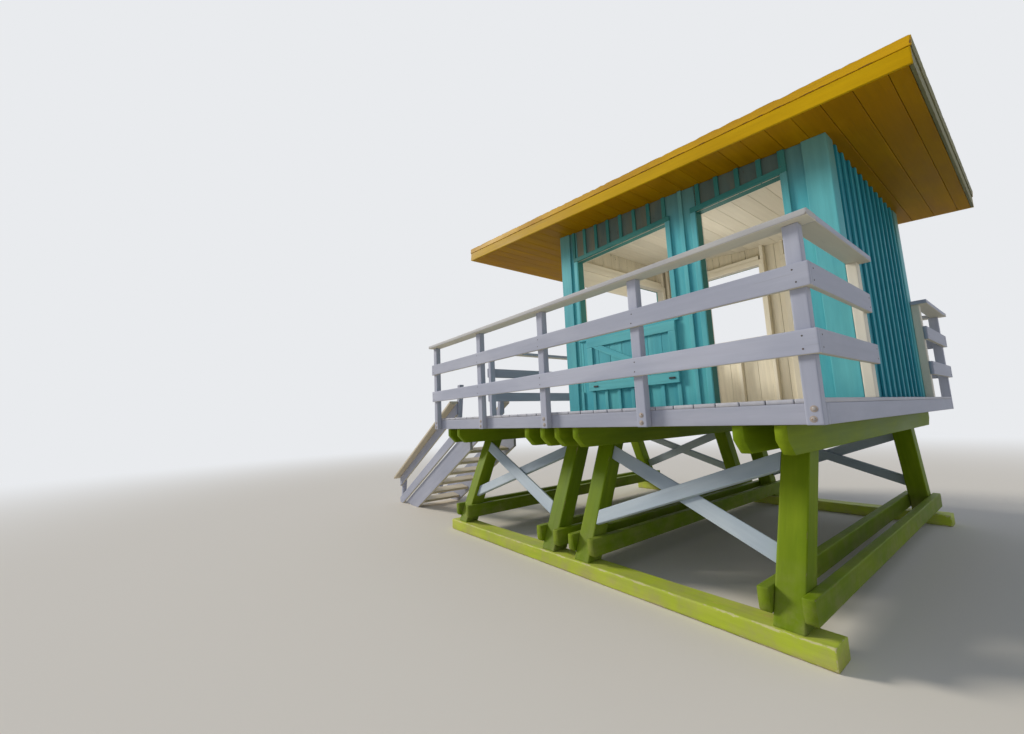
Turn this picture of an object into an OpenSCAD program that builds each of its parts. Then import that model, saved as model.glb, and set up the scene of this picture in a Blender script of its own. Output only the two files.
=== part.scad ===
// Lifeguard tower: a small boarded cabin on a railed deck, carried by four braced trestles on two skids.
// Millimetres, +Z up. The stair is at the front (-Y), the doorway side is the right (+X).

/* [Deck] */
// Length of the deck front to rear
deck_l = 4900; // [4800:10:5000]
// Width of the deck over its rim
deck_w = 4920; // [4900:10:4960]
// Height of the walking surface over the ground
deck_h = 1610; // [1560:10:1700]
// Thickness of the deck boards
board_t = 30; // [25:1:35]
// Depth of the rim boards and joists
rim_h = 130; // [120:5:150]
// Thickness of the rim boards and joists
rim_t = 45; // [35:1:50]
// Number of joists between the side rims
joist_count = 7; // [5:1:9]

/* [Base] */
// Width of a skid
skid_w = 230; // [200:5:260]
// Height of a skid
skid_h = 140; // [120:5:160]
// Length of a skid
skid_l = 4610; // [4500:10:4800]
// How far a skid's outer face stands out from the legs' feet
skid_margin = 28; // [10:1:60]
// Width of a leg seen from the front
leg_w = 200; // [180:5:220]
// Thickness of a leg seen from the side
leg_t = 190; // [170:5:200]
// Distance from the middle to the outer face of a leg at its top
leg_top_out = 1755; // [1720:5:1800]
// Sideways lean of the legs for each unit of height
leg_lean = 0.433; // [0.4:0.001:0.44]
// Distance of the two outer trestles from the middle
trestle_outer = 2050; // [1950:5:2100]
// Distance of the two inner trestles from the middle
trestle_inner = 245; // [230:1:300]
// Thickness of the clasping beams
beam_t = 75; // [60:1:76]
// Depth of a cap beam
cap_beam_h = 200; // [160:5:220]
// Distance from the middle to the end of a cap beam
cap_beam_out = 2430; // [2380:5:2450]
// Depth of a tie beam
tie_h = 167; // [140:1:180]
// Height of a tie beam over the ground
tie_z = 205; // [190:5:240]
// How far a tie beam's end stands out from the legs
tie_margin = 62; // [40:1:80]
// Width of a brace board
brace_w = 132; // [110:1:150]
// Thickness of a brace board
brace_t = 40; // [30:1:45]
// Distance from a tie beam's top up to the lower end of a brace's middle line
brace_foot_gap = 173; // [120:1:230]
// Distance from a cap beam's underside down to the upper end of a brace's middle line
brace_head_gap = 85; // [75:1:150]

/* [Railing] */
// Height from the deck to the underside of the cap board
rail_h = 1070; // [1000:10:1100]
// Thickness of the cap board
cap_t = 45; // [35:1:50]
// Width of the cap board
cap_w = 165; // [140:5:180]
// Width of a railing plank
plank_w = 152; // [130:1:165]
// Thickness of a railing plank
plank_t = 35; // [25:1:40]
// Height of the lower plank over the deck
plank_low = 253; // [200:1:280]
// Height of the upper plank over the deck
plank_high = 659; // [600:1:700]
// Width of a railing post
post_w = 90; // [80:1:100]
// Thickness of a side railing post
post_t = 70; // [60:1:80]
// Thickness of a front or rear railing post, which stands on the deck
end_post_t = 70; // [50:1:80]

/* [Cabin] */
// Width of the cabin
cabin_w = 2540; // [2500:10:2600]
// Front face of the cabin from the middle of the deck
cabin_front = -785; // [-830:5:-740]
// Rear face of the cabin from the middle of the deck
cabin_rear = 2358; // [2280:2:2380]
// Thickness of a wall
wall_t = 100; // [80:5:110]
// Width of the doorway
door_w = 800; // [760:5:820]
// Height of the wall over the doorway, at the doorway's front edge
door_head = 295; // [280:1:340]
// Front edge of the doorway from the middle of the deck
door_y = 1212; // [1190:1:1230]
// Width of a side window
window_w = 1359; // [1300:1:1370]
// Front edge of a side window from the middle of the deck
window_y = -505; // [-520:1:-480]
// Height of the window sills over the deck
sill_h = 1000; // [950:5:1050]
// Height of the wall over the side windows, at their rear edge
window_head = 300; // [280:1:340]
// Width of the wall beside the front window, inside the side walls
front_jamb_w = 120; // [110:5:200]
// Width of the trim boards round the openings
trim_w = 57; // [50:1:60]
// Thickness of the trim boards and corner boards
trim_t = 22; // [18:1:28]
// Width of a corner board
corner_w = 160; // [120:5:162]
// Height of a folded shutter
shutter_h = 680; // [600:5:720]
// Thickness of a shutter's panel, and of its ledges
shutter_t = 22; // [18:1:25]

/* [Roof] */
// Width of the roof
roof_w = 3470; // [3400:10:3520]
// Thickness of the roof
roof_t = 200; // [160:5:220]
// Front edge of the roof's underside
roof_front = -2570; // [-2620:5:-2500]
// Rear edge of the roof's underside
roof_rear = 2970; // [2900:5:3000]
// Slope of the roof in degrees
roof_slope = 5.455; // [4:0.005:6.5]
// Height of the roof's underside over the deck at the cabin's front face
wall_front_h = 2536; // [2480:1:2560]
// Depth of the upper trim strip
strip_h = 75; // [60:1:90]
// Thickness of the upper trim strip
strip_t = 20; // [15:1:25]
// How far the upper trim strip stands out from the roof's sides
strip_proud = 6; // [3:1:12]

/* [Stair] */
// Number of treads
tread_count = 6; // [5:1:6]
// Slope of the stair in degrees
stair_slope = 30; // [29:0.1:30.5]
// Height of the treads' rear corners over the ground, on a line carried on to the deck's edge
tread_line_z = 1010; // [1005:1:1020]
// Distance from tread to tread along the slope
tread_pitch = 388; // [370:1:392]
// Distance of the first tread's rear corner from the deck's edge, under the deck
tread_start = 61; // [40:1:70]
// How far the treads and posts of the stair lean back, in degrees
stair_lean = 8; // [6:0.5:9]
// Left face of the stair from the middle
stair_left = 1170; // [1150:5:1190]
// Width of the stair over its stringers
stair_w = 890; // [870:5:900]
// Thickness of a stringer
stringer_t = 45; // [38:1:50]
// Depth of a stringer square to its slope
stringer_h = 300; // [290:1:305]
// Height of the stringers' upper edge over the line of the treads' rear corners
stringer_over = 315; // [310:1:320]
// Thickness of a tread
tread_t = 40; // [35:1:45]
// Depth of a tread front to rear
tread_d = 250; // [235:5:255]
// Section of a newel post
newel_w = 75; // [60:1:90]
// Height of the upper newel posts over the deck
newel_h = 530; // [500:10:560]
// Height of the handrail board's underside over the stringers' upper edge
handrail_over = 575; // [565:1:600]
// Width of a stair rail plank
stair_rail_w = 150; // [130:1:155]
// Width of the handrail board
handrail_w = 150; // [140:5:160]
// Thickness of the handrail board
handrail_t = 38; // [30:1:45]
// Thickness of a stair rail board
stair_rail_t = 35; // [25:1:40]
// Upright distance from the upper stair plank down to the lower one
mid_rail_drop = 385; // [375:1:390]
// Distance from the stringers' toes to the foot posts, which stand on the ground
foot_reach = 300; // [280:5:320]

/* [Export] */
// Which node to draw

/* [Hidden] */
rim_out = deck_w / 2;
deck_half = deck_l / 2;
frame_z = deck_h - board_t - rim_h;
post_out = rim_out + post_t;
plank_out = post_out + plank_t;
cap_out = plank_out + plank_t;
end_plank_out = deck_half + plank_t;
end_cap_out = end_plank_out + plank_t;
rail_z = deck_h + rail_h;
post_h = rail_z - frame_z;
corner_post_y = deck_half - post_w / 2;
side_posts = [-corner_post_y, -1177, 37, 1224, corner_post_y];
half_cabin = cabin_w / 2;
wall_front_z = deck_h + wall_front_h;
roof_rise = tan(roof_slope);
window_y1 = window_y + window_w;
door_y1 = door_y + door_w;
sill_z = deck_h + sill_h;
head_z = under_roof(window_y1) - window_head;
door_z = under_roof(door_y) - door_head;
half_front_window = half_cabin - wall_t - front_jamb_w;
front_window_w = 2 * half_front_window;
skid_out = leg_face(skid_h) + skid_margin;
tie_out = leg_face(tie_z + tie_h / 2) + tie_margin;
brace_z0 = tie_z + tie_h + brace_foot_gap;
brace_z1 = frame_z - cap_beam_h - brace_head_gap;
shutter_top = sill_z - trim_w;
rear_rail_end = half_cabin + trim_t - post_w;
steep = tan(stair_slope);
stringer_top = tread_line_z + stringer_over;
stringer_cut = stringer_h / cos(stair_slope);
stair_right = stair_left + stair_w;
stair_toe = deck_half + (stringer_top - 60) / steep;
stair_foot = stair_toe + foot_reach;
stair_head = trestle_outer + leg_t / 2 + beam_t;
newel_front = end_plank_out + 75 + newel_w;
front_rail_end = 1520;
trestles = [-trestle_outer, -trestle_inner, trestle_inner, trestle_outer];
bay = trestle_outer - trestle_inner - leg_t;
roof_top_rear = roof_rear + roof_t * sin(roof_slope);
centre_shift = (stair_foot - roof_top_rear) / 2;

roof_yellow = [0.86, 0.66, 0.14];
cabin_teal = [0.16, 0.58, 0.58];
base_lime = [0.52, 0.72, 0.22];
rail_white = [0.86, 0.85, 0.86];

// Underside of the roof over a place front to rear
function under_roof(y) = wall_front_z - (y - cabin_front) * roof_rise;

// Outer face of the legs at a height
function leg_face(z) = leg_top_out + (frame_z - z) * leg_lean;

module box(x0, x1, y0, y1, z0, z1) {
    translate([x0, y0, z0]) cube([x1 - x0, y1 - y0, z1 - z0]);
}

// Outline in front to rear and height, drawn out sideways from x0 to x1
module side_plate(x0, x1, outline) {
    translate([x0, 0, 0]) rotate([90, 0, 90]) linear_extrude(x1 - x0) polygon(outline);
}

// Outline in width and height, drawn out from y0 to y1
module front_plate(y0, y1, outline) {
    translate([0, y1, 0]) rotate([90, 0, 0]) linear_extrude(y1 - y0) polygon(outline);
}

module both_sides() {
    children();
    mirror([1, 0, 0]) children();
}

module skid() {
    box(skid_out - skid_w, skid_out, -skid_l / 2, skid_l / 2, 0, skid_h);
}

module legs(y) {
    both_sides() front_plate(y - leg_t / 2, y + leg_t / 2, [
        [leg_face(skid_h) - leg_w, skid_h], [leg_face(skid_h), skid_h],
        [leg_top_out, frame_z], [leg_top_out - leg_w, frame_z]]);
}

// A beam along the width whose lower end corners are cut away
module cross_beam(y0, z0, z1, out, bevel) {
    front_plate(y0, y0 + beam_t, [
        [-out + bevel, z0], [out - bevel, z0], [out, z0 + bevel], [out, z1],
        [-out, z1], [-out, z0 + bevel]]);
}

// Two beams that clasp the legs of a trestle front and rear
module clasping_beams(y, z0, z1, out, bevel) {
    cross_beam(y - leg_t / 2 - beam_t, z0, z1, out, bevel);
    cross_beam(y + leg_t / 2, z0, z1, out, bevel);
}

module cap_beams(y) {
    clasping_beams(y, frame_z - cap_beam_h, frame_z, cap_beam_out, cap_beam_h / 2);
}

module tie_beams(y) {
    clasping_beams(y, tie_z, tie_z + tie_h, tie_out, 25);
}

// A board in the tilted plane of the legs, cut to the legs' sides. It rises to the rear, or falls.
module brace(y0, rising, layer) {
    tilt = atan(leg_lean);
    low = (frame_z - brace_z0) / cos(tilt);
    high = (frame_z - brace_z1) / cos(tilt);
    half = brace_w / 2 / cos(atan((low - high) / bay));
    from = rising ? low : high;
    to = rising ? high : low;
    face = leg_top_out - layer * brace_t / cos(tilt);
    translate([face, 0, frame_z]) rotate([0, -tilt, 0]) side_plate(-brace_t, 0, [
        [y0, -from - half], [y0 + bay, -to - half], [y0 + bay, -to + half], [y0, -from + half]]);
}

// Layer 0 lies over layer 1. The boards of layer 0 meet low in the middle of the base.
module braces(layer) {
    both_sides() {
        brace(-trestle_outer + leg_t / 2, layer == 1, layer);
        brace(trestle_inner + leg_t / 2, layer == 0, layer);
    }
}

module deck_frame() {
    clear_w = (deck_w - (joist_count + 2) * rim_t) / (joist_count + 1);
    difference() {
        box(-rim_out, rim_out, -deck_half, deck_half, frame_z, frame_z + rim_h);
        for (i = [0:joist_count])
            translate([-rim_out + rim_t + i * (clear_w + rim_t), -deck_half + rim_t, frame_z - 1])
                cube([clear_w, deck_l - 2 * rim_t, rim_h + 2]);
    }
}

module deck_boards() {
    box(-rim_out, rim_out, -deck_half, deck_half, deck_h - board_t, deck_h);
}

module rail_posts(near_posts) {
    for (y = near_posts)
        box(rim_out, post_out, y - post_w / 2, y + post_w / 2, frame_z, rail_z);
}

module plank_pair(x0, x1, y0, y1) {
    box(x0, x1, y0, y1, deck_h + plank_low, deck_h + plank_low + plank_w);
    box(x0, x1, y0, y1, deck_h + plank_high, deck_h + plank_high + plank_w);
}

module rail_planks() {
    plank_pair(post_out, plank_out, -deck_half, end_plank_out);
}

module rail_cap(front_end) {
    box(cap_out - cap_w, cap_out, front_end, end_cap_out, rail_z, rail_z + cap_t);
}

// Front railing from the left corner to the stair
module rail_front() {
    middle = (front_rail_end - rim_out) / 2;
    y1 = -deck_half + end_post_t;
    for (x = [-rim_out, middle - post_w / 2, front_rail_end - post_w])
        box(x, x + post_w, -deck_half, y1, deck_h, rail_z);
    plank_pair(-post_out, front_rail_end, -end_plank_out, -deck_half);
    box(-cap_out + cap_w, front_rail_end, -end_cap_out, -end_cap_out + cap_w, rail_z, rail_z + cap_t);
}

// Short railing across the walkway, from the cabin's corner to the side railing
module rail_rear() {
    wall_out = cabin_rear + trim_t;
    box(rear_rail_end, rear_rail_end + post_w, wall_out, deck_half, deck_h, rail_z);
    plank_pair(rear_rail_end, post_out, deck_half, end_plank_out);
    box(rear_rail_end - 20, rear_rail_end + post_w, wall_out, end_cap_out, rail_z, rail_z + cap_t);
    box(rear_rail_end + post_w, cap_out - cap_w, end_cap_out - cap_w, end_cap_out, rail_z, rail_z + cap_t);
}

// Height of the stringers' upper edge at a place front to rear
function stringer_z(y) = stringer_top + (y + deck_half) * steep;

// Height of the handrail board's underside at a place in front of the deck
function handrail_z(y) = stringer_z(y) + handrail_over;

// A stringer runs from the first cap beam, under the deck's edge, down to the ground
module stringer(x0) {
    side_plate(x0, x0 + stringer_t, [
        [-stair_head, min(frame_z, stringer_z(-stair_head))],
        [-deck_half + (frame_z - stringer_top) / steep, frame_z],
        [-stair_toe, 60], [-stair_toe, 0], [-deck_half - (stringer_top - stringer_cut) / steep, 0],
        [-stair_head, stringer_z(-stair_head) - stringer_cut]]);
}

// Each tread leans back about its lower rear corner
module stair_treads() {
    for (i = [0:tread_count - 1]) {
        along = i * tread_pitch * cos(stair_slope) - tread_start;
        translate([stair_left + stringer_t, -deck_half - along, tread_line_z - along * steep])
            rotate([-stair_lean, 0, 0]) translate([0, -tread_d, 0]) cube([stair_w - 2 * stringer_t, tread_d, tread_t]);
    }
}

// A post that leans back, from the height z0 to the height z1, with its front face at y on the deck's level
module stair_post(x0, y, z0, z1) {
    lean = tan(stair_lean);
    y0 = y + (z0 - deck_h) * lean;
    y1 = y + (z1 - deck_h) * lean;
    side_plate(x0, x0 + newel_w, [[y0, z0], [y0 + newel_w, z0], [y1 + newel_w, z1], [y1, z1]]);
}

module stair_posts(x0) {
    lean = tan(stair_lean);
    foot_y = -stair_foot + deck_h * lean;
    stair_post(x0, -newel_front, stringer_z(-newel_front), deck_h + newel_h);
    stair_post(x0, foot_y, 0, handrail_z(-stair_foot + newel_w));
}

// A plank below the handrail, cut level where it meets the ground
module stair_rail(x0, drop) {
    y0 = -stair_foot + newel_w / 2;
    y1 = -newel_front + newel_w;
    low = drop + stair_rail_w / cos(stair_slope);
    intersection() {
        side_plate(x0, x0 + stair_rail_t, [
            [y0, handrail_z(y0) - low], [y1, handrail_z(y1) - low],
            [y1, handrail_z(y1) - drop], [y0, handrail_z(y0) - drop]]);
        box(x0 - 1, x0 + stair_rail_t + 1, y0 - 1, y1 + 1, 0, rail_z);
    }
}

// The board that lies on the planks and stands out past them
module handrail(x0) {
    y0 = -stair_foot;
    y1 = -newel_front + newel_w;
    up = handrail_t / cos(stair_slope);
    side_plate(x0, x0 + handrail_w, [
        [y0, handrail_z(y0)], [y1, handrail_z(y1)], [y1, handrail_z(y1) + up], [y0, handrail_z(y0) + up]]);
}

// A side wall's outline from y0 to y1, up to the roof
module side_wall(y0, y1, z0) {
    side_plate(half_cabin - wall_t, half_cabin, [[y0, z0], [y1, z0], [y1, under_roof(y1)], [y0, under_roof(y0)]]);
}

module wall_window() {
    difference() {
        side_wall(cabin_front, door_y, deck_h);
        box(0, half_cabin + 50, window_y, window_y1, sill_z, head_z);
    }
}

module cross_wall(y0) {
    inner = half_cabin - wall_t;
    y1 = y0 + wall_t;
    side_plate(-inner, inner, [[y0, deck_h], [y1, deck_h], [y1, under_roof(y1)], [y0, under_roof(y0)]]);
}

module wall_front() {
    difference() {
        cross_wall(cabin_front);
        box(-half_front_window, half_front_window, cabin_front - 50, 0, sill_z, head_z);
    }
}

// Boards round each corner of the cabin, cut to the slope of the roof
module corner_board(y0, y1, x0, x1) {
    side_plate(x0, x1, [[y0, deck_h], [y1, deck_h], [y1, under_roof(y1)], [y0, under_roof(y0)]]);
}

module corner_boards() {
    outer = half_cabin + trim_t;
    both_sides() {
        corner_board(cabin_rear - corner_w, cabin_rear + trim_t, half_cabin, outer);
        corner_board(cabin_rear, cabin_rear + trim_t, half_cabin - corner_w, half_cabin);
        corner_board(cabin_front - trim_t, cabin_front + corner_w, half_cabin, outer);
        corner_board(cabin_front - trim_t, cabin_front, half_cabin - corner_w, half_cabin);
    }
}

module trim_uprights() {
    x0 = half_cabin;
    x1 = half_cabin + trim_t;
    both_sides() {
        box(x0, x1, window_y - trim_w, window_y, sill_z, head_z);
        box(x0, x1, window_y1, window_y1 + trim_w, sill_z, head_z);
        box(x0, x1, door_y - trim_w, door_y, deck_h, door_z);
        box(x0, x1, door_y1, door_y1 + trim_w, deck_h, door_z);
        box(half_front_window, half_front_window + trim_w, cabin_front - trim_t, cabin_front, sill_z, head_z);
    }
}

module trim_rails() {
    x0 = half_cabin;
    x1 = half_cabin + trim_t;
    wide = half_front_window + trim_w;
    both_sides() {
        box(x0, x1, window_y - trim_w, window_y1 + trim_w, sill_z - trim_w, sill_z);
        box(x0, x1, window_y - trim_w, window_y1 + trim_w, head_z, head_z + trim_w);
        box(x0, x1, door_y - trim_w, door_y1 + trim_w, door_z, door_z + trim_w);
    }
    box(-wide, wide, cabin_front - trim_t, cabin_front, sill_z - trim_w, sill_z);
    box(-wide, wide, cabin_front - trim_t, cabin_front, head_z, head_z + trim_w);
}

// A folded shutter in its own plane: a panel with a frame of ledges and stiles, and a diagonal
module shutter(wide) {
    ledge = 110;
    stile = 90;
    across = 170;
    cube([wide, shutter_t, shutter_h]);
    translate([0, shutter_t, 0]) rotate([90, 0, 0]) translate([0, 0, -shutter_t]) {
        linear_extrude(shutter_t) difference() {
            square([wide, shutter_h]);
            translate([stile, ledge]) square([wide - 2 * stile, shutter_h - 2 * ledge]);
        }
        linear_extrude(shutter_t) polygon([
            [stile, ledge], [stile + across, ledge],
            [wide - stile, shutter_h - ledge], [wide - stile - across, shutter_h - ledge]]);
    }
}

module shutters() {
    both_sides() translate([half_cabin, window_y1 + 20, shutter_top - shutter_h])
        rotate([0, 0, -90]) shutter(window_w - 75);
    translate([half_front_window, cabin_front, shutter_top - shutter_h]) rotate([0, 0, 180]) shutter(front_window_w);
}

// Draws in the tilted frame of the roof, from the front edge of its underside
module on_roof() {
    translate([0, roof_front, under_roof(roof_front)]) rotate([-roof_slope, 0, 0]) children();
}

module roof() {
    slope_l = (roof_rear - roof_front) / cos(roof_slope);
    on_roof() difference() {
        translate([-roof_w / 2 + strip_proud, strip_proud, 0])
            cube([roof_w - 2 * strip_proud, slope_l - 2 * strip_proud, roof_t]);
        roof_strip_ring();
    }
}

// The strip let into the roof's upper edge all round
module roof_strip_ring() {
    slope_l = (roof_rear - roof_front) / cos(roof_slope);
    translate([0, 0, roof_t - strip_h]) difference() {
        translate([-roof_w / 2, 0, 0]) cube([roof_w, slope_l, strip_h]);
        translate([-roof_w / 2 + strip_t, strip_t, -1])
            cube([roof_w - 2 * strip_t, slope_l - 2 * strip_t, strip_h + 2]);
    }
}

module roof_strip() {
    on_roof() roof_strip_ring();
}

// Moves a piece so that the middle of the whole object stands over the origin
module place() {
    translate([0, centre_shift, 0]) children();
}

place() color(base_lime) mirror([1, 0, 0]) skid();  // skid_left
place() color(base_lime) skid();  // skid_right
place() color(base_lime) legs(trestles[0]);  // legs_1
place() color(base_lime) legs(trestles[1]);  // legs_2
place() color(base_lime) legs(trestles[2]);  // legs_3
place() color(base_lime) legs(trestles[3]);  // legs_4
place() color(base_lime) cap_beams(trestles[0]);  // cap_beams_1
place() color(base_lime) cap_beams(trestles[1]);  // cap_beams_2
place() color(base_lime) cap_beams(trestles[2]);  // cap_beams_3
place() color(base_lime) cap_beams(trestles[3]);  // cap_beams_4
place() color(base_lime) tie_beams(trestles[0]);  // tie_beams_1
place() color(base_lime) tie_beams(trestles[1]);  // tie_beams_2
place() color(base_lime) tie_beams(trestles[2]);  // tie_beams_3
place() color(base_lime) tie_beams(trestles[3]);  // tie_beams_4
place() color(rail_white) braces(0);  // braces_outer
place() color(rail_white) braces(1);  // braces_inner
place() color(rail_white) deck_frame();
place() color(rail_white) deck_boards();
place() color(rail_white) rail_posts(side_posts);  // rail_posts_right
place() color(rail_white) rail_planks();  // rail_planks_right
place() color(rail_white) rail_cap(-deck_half - 30);  // rail_cap_right
place() color(rail_white) mirror([1, 0, 0]) rail_posts(side_posts);  // rail_posts_left
place() color(rail_white) mirror([1, 0, 0]) rail_planks();  // rail_planks_left
place() color(rail_white) mirror([1, 0, 0]) rail_cap(-end_cap_out);  // rail_cap_left
place() color(rail_white) rail_front();
place() color(rail_white) rail_rear();  // rail_rear_right
place() color(rail_white) mirror([1, 0, 0]) rail_rear();  // rail_rear_left
place() color(rail_white) {  // stair_stringers
    stringer(stair_left);
    stringer(stair_right - stringer_t);
}
place() color(rail_white) stair_treads();
place() color(rail_white) {  // stair_newels
    stair_posts(stair_left);
    stair_posts(stair_right - newel_w);
}
place() color(rail_white) {  // stair_rails
    stair_rail(stair_right, 0);
    stair_rail(stair_right, mid_rail_drop);
    stair_rail(stair_left - stair_rail_t, 0);
    stair_rail(stair_left - stair_rail_t, mid_rail_drop);
    handrail(stair_right);
    handrail(stair_left - handrail_w);
}
place() color(cabin_teal) wall_front();
place() color(cabin_teal) cross_wall(cabin_rear - wall_t);  // wall_rear
place() color(cabin_teal) wall_window();  // wall_right_window
place() color(cabin_teal) side_wall(door_y, door_y1, door_z);  // wall_right_head
place() color(cabin_teal) side_wall(door_y1, cabin_rear, deck_h);  // wall_right_rear
place() color(cabin_teal) mirror([1, 0, 0]) wall_window();  // wall_left_window
place() color(cabin_teal)  // wall_left_head
    mirror([1, 0, 0]) side_wall(door_y, door_y1, door_z);
place() color(cabin_teal)  // wall_left_rear
    mirror([1, 0, 0]) side_wall(door_y1, cabin_rear, deck_h);
place() color(cabin_teal) corner_boards();
place() color(cabin_teal) trim_uprights();
place() color(cabin_teal) trim_rails();
place() color(cabin_teal) shutters();
place() color(roof_yellow) roof();
place() color(roof_yellow) roof_strip();
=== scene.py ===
# %% [markdown]
# A lifeguard tower is joinery: sawn boards and posts, painted, screwed together, and left out of doors.
# So nearly every piece here is a board, and the lesson is about one thing done well: a board with soft
# arrises, a grain that runs along it, and paint that has worn where hands, feet and weather reach it.
# The solids that carry the tower are already made. This script loads them as a fixed frame,
# lays a carved board over each of them, and adds what is too fine for a solid: battens, studs, bolts.

# %% Load the frame
import math

import bpy
import numpy as np
from mathutils import Matrix, Vector


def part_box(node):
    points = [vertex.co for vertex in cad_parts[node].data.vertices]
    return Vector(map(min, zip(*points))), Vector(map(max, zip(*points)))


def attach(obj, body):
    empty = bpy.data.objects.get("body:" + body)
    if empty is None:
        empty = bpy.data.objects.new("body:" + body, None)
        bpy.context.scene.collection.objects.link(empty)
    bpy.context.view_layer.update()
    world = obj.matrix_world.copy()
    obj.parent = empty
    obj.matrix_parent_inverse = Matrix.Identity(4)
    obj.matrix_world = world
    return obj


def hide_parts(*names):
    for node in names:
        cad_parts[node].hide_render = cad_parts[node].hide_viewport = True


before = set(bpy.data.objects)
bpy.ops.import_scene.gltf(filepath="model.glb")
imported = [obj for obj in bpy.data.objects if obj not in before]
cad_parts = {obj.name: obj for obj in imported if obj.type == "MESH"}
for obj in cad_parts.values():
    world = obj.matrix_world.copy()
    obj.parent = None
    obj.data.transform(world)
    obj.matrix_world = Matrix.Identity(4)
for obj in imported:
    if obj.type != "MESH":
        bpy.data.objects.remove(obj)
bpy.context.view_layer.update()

# %% [markdown]
# The tower is drawn about the middle of its deck: x to the right, y from the stair to the rear, z up.
# The frame has its own middle, because the stair reaches further than the roof does. The deck boards'
# box gives the shift between the two, so every number below can be read off the deck with a tape.

# %% Sizes of the tower, metres
deck_low, deck_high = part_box("deck_boards")
SHIFT = (deck_low[1] + deck_high[1]) / 2
DECK_Z = deck_high[2]
RIM_X, RIM_Y = deck_high[0], (deck_high[1] - deck_low[1]) / 2
BOARD_T = deck_high[2] - deck_low[2]
FRAME_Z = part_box("deck_frame")[0][2]
RAIL_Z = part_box("rail_cap_right")[0][2]
CAP_X, CAP_T, CAP_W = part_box("rail_cap_right")[1][0], 0.045, 0.165
POST_X, PLANK_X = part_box("rail_posts_right")[1][0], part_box("rail_planks_right")[1][0]
PLANK_T, CAP_REACH = 0.035, 0.07
PLANK_Y, CAP_Y = RIM_Y + PLANK_T, RIM_Y + CAP_REACH
PLANKS = [(DECK_Z + 0.253, DECK_Z + 0.405), (DECK_Z + 0.659, DECK_Z + 0.811)]
WALL_X, WALL_T, TRIM_T = 1.27, 0.10, 0.022
WALL_Y0, WALL_Y1 = -0.785, 2.358
ROOF_TAN = math.tan(math.radians(5.455))
ROOF_EAVE_Z = DECK_Z + 2.536


def under_roof(y):
    """Height of the roof's underside at y: it falls evenly to the rear."""
    return ROOF_EAVE_Z - (y - WALL_Y0) * ROOF_TAN


print("shift %.4f deck %.3f rail %.3f eave %.3f" % (SHIFT, DECK_Z, RAIL_Z, ROOF_EAVE_Z))

# %% [markdown]
# The camera stands low and close to the rear right corner, with a very wide lens, and a little askew. A
# wide lens near a corner is what makes the roof loom, so the place and the focal length were solved
# together from the corners of the deck, the roof and the cabin.

# %% Camera
CAMERA_AT = Vector((5.3865, 3.259 + SHIFT, 1.560))
CAMERA_YAW, CAMERA_PITCH, CAMERA_ROLL = 0.9172, 0.1257, -0.0419
FOCAL_PIXELS, IMAGE_WIDTH, SENSOR_WIDTH = 409.97, 1024, 36.0


def placed(name, data):
    """An object of that data, linked into the scene."""
    made = bpy.data.objects.new(name, data)
    bpy.context.collection.objects.link(made)
    return made


forward = Vector((-math.cos(CAMERA_YAW) * math.cos(CAMERA_PITCH),
                  -math.sin(CAMERA_YAW) * math.cos(CAMERA_PITCH), math.sin(CAMERA_PITCH)))
level = forward.cross(Vector((0, 0, 1))).normalized()
upward = level.cross(forward)
right = level * math.cos(CAMERA_ROLL) + upward * math.sin(CAMERA_ROLL)
above = upward * math.cos(CAMERA_ROLL) - level * math.sin(CAMERA_ROLL)

camera_data = bpy.data.cameras.new("camera")
camera_data.sensor_width = SENSOR_WIDTH
camera_data.lens = SENSOR_WIDTH * FOCAL_PIXELS / IMAGE_WIDTH
camera = placed("camera", camera_data)
axes = Matrix((right, above, -forward)).transposed().to_4x4()
camera.matrix_world = Matrix.Translation(CAMERA_AT) @ axes
bpy.context.scene.camera = camera
print("lens %.2f mm" % camera_data.lens)

# %% [markdown]
# The paints, the sky and the floor are all built from nodes, and three small helpers keep that short. One
# empties a tree, one adds a node and feeds its sockets, and one turns a colour as a painter writes it down
# into the linear light that the renderer reckons with.

# %% Nodes and colours
bpy.context.scene.view_settings.view_transform = "Standard"


def bare_tree(owner):
    """The emptied node tree of a material or of the world."""
    owner.use_nodes = True
    owner.node_tree.nodes.clear()
    return owner.node_tree


def add(tree, kind, inputs=(), **settings):
    """A node of that kind. inputs pairs a socket with a value, or with the socket that feeds it."""
    made = tree.nodes.new(kind)
    for key, value in settings.items():
        setattr(made, key, value)
    for socket, value in inputs:
        if isinstance(value, bpy.types.NodeSocket):
            tree.links.new(value, made.inputs[socket])
        else:
            made.inputs[socket].default_value = value
    return made


def rgb(hexed):
    """A colour written as RRGGBB, as linear light: c / 12.92 when dark, else ((c + 0.055) / 1.055) ** 2.4."""
    parts = np.array([int(hexed[i:i + 2], 16) for i in (0, 2, 4)]) / 255.0
    linear = np.where(parts <= 0.04045, parts / 12.92, ((parts + 0.055) / 1.055) ** 2.4)
    return (*[float(v) for v in linear], 1.0)


BACKDROP = rgb("E9EBEE")
print("backdrop", [round(v, 3) for v in BACKDROP])

# %% [markdown]
# The light is a studio's: one broad key lamp low over the front, a little to the right, and an even fill
# from all round. The long right side gets the key at a slant and the rear gets only the fill, so the two
# read apart. Together they bring a colour up to about its own value. A large soft lamp inside the cabin
# stands for the light that comes up from the ground and in at its openings. Whatever looks past the tower
# sees the pale backdrop, while the fill that lights it is a little bluer and half as strong.

# %% Light
FILL_STRENGTH, FILL_COLOUR = 0.51, rgb("D9E5FC")
KEY_ENERGY, KEY_COLOUR, KEY_SPREAD = 2.45, (1.0, 0.965, 0.91), math.radians(14)
KEY_FROM = Vector((0.40, -0.80, 0.46))
ROOM_ENERGY, ROOM_COLOUR, ROOM_RADIUS = 30.0, (1.0, 0.97, 0.92), 0.45
ROOM_AT = (0.1, 0.5 + SHIFT, DECK_Z + 1.15)


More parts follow.
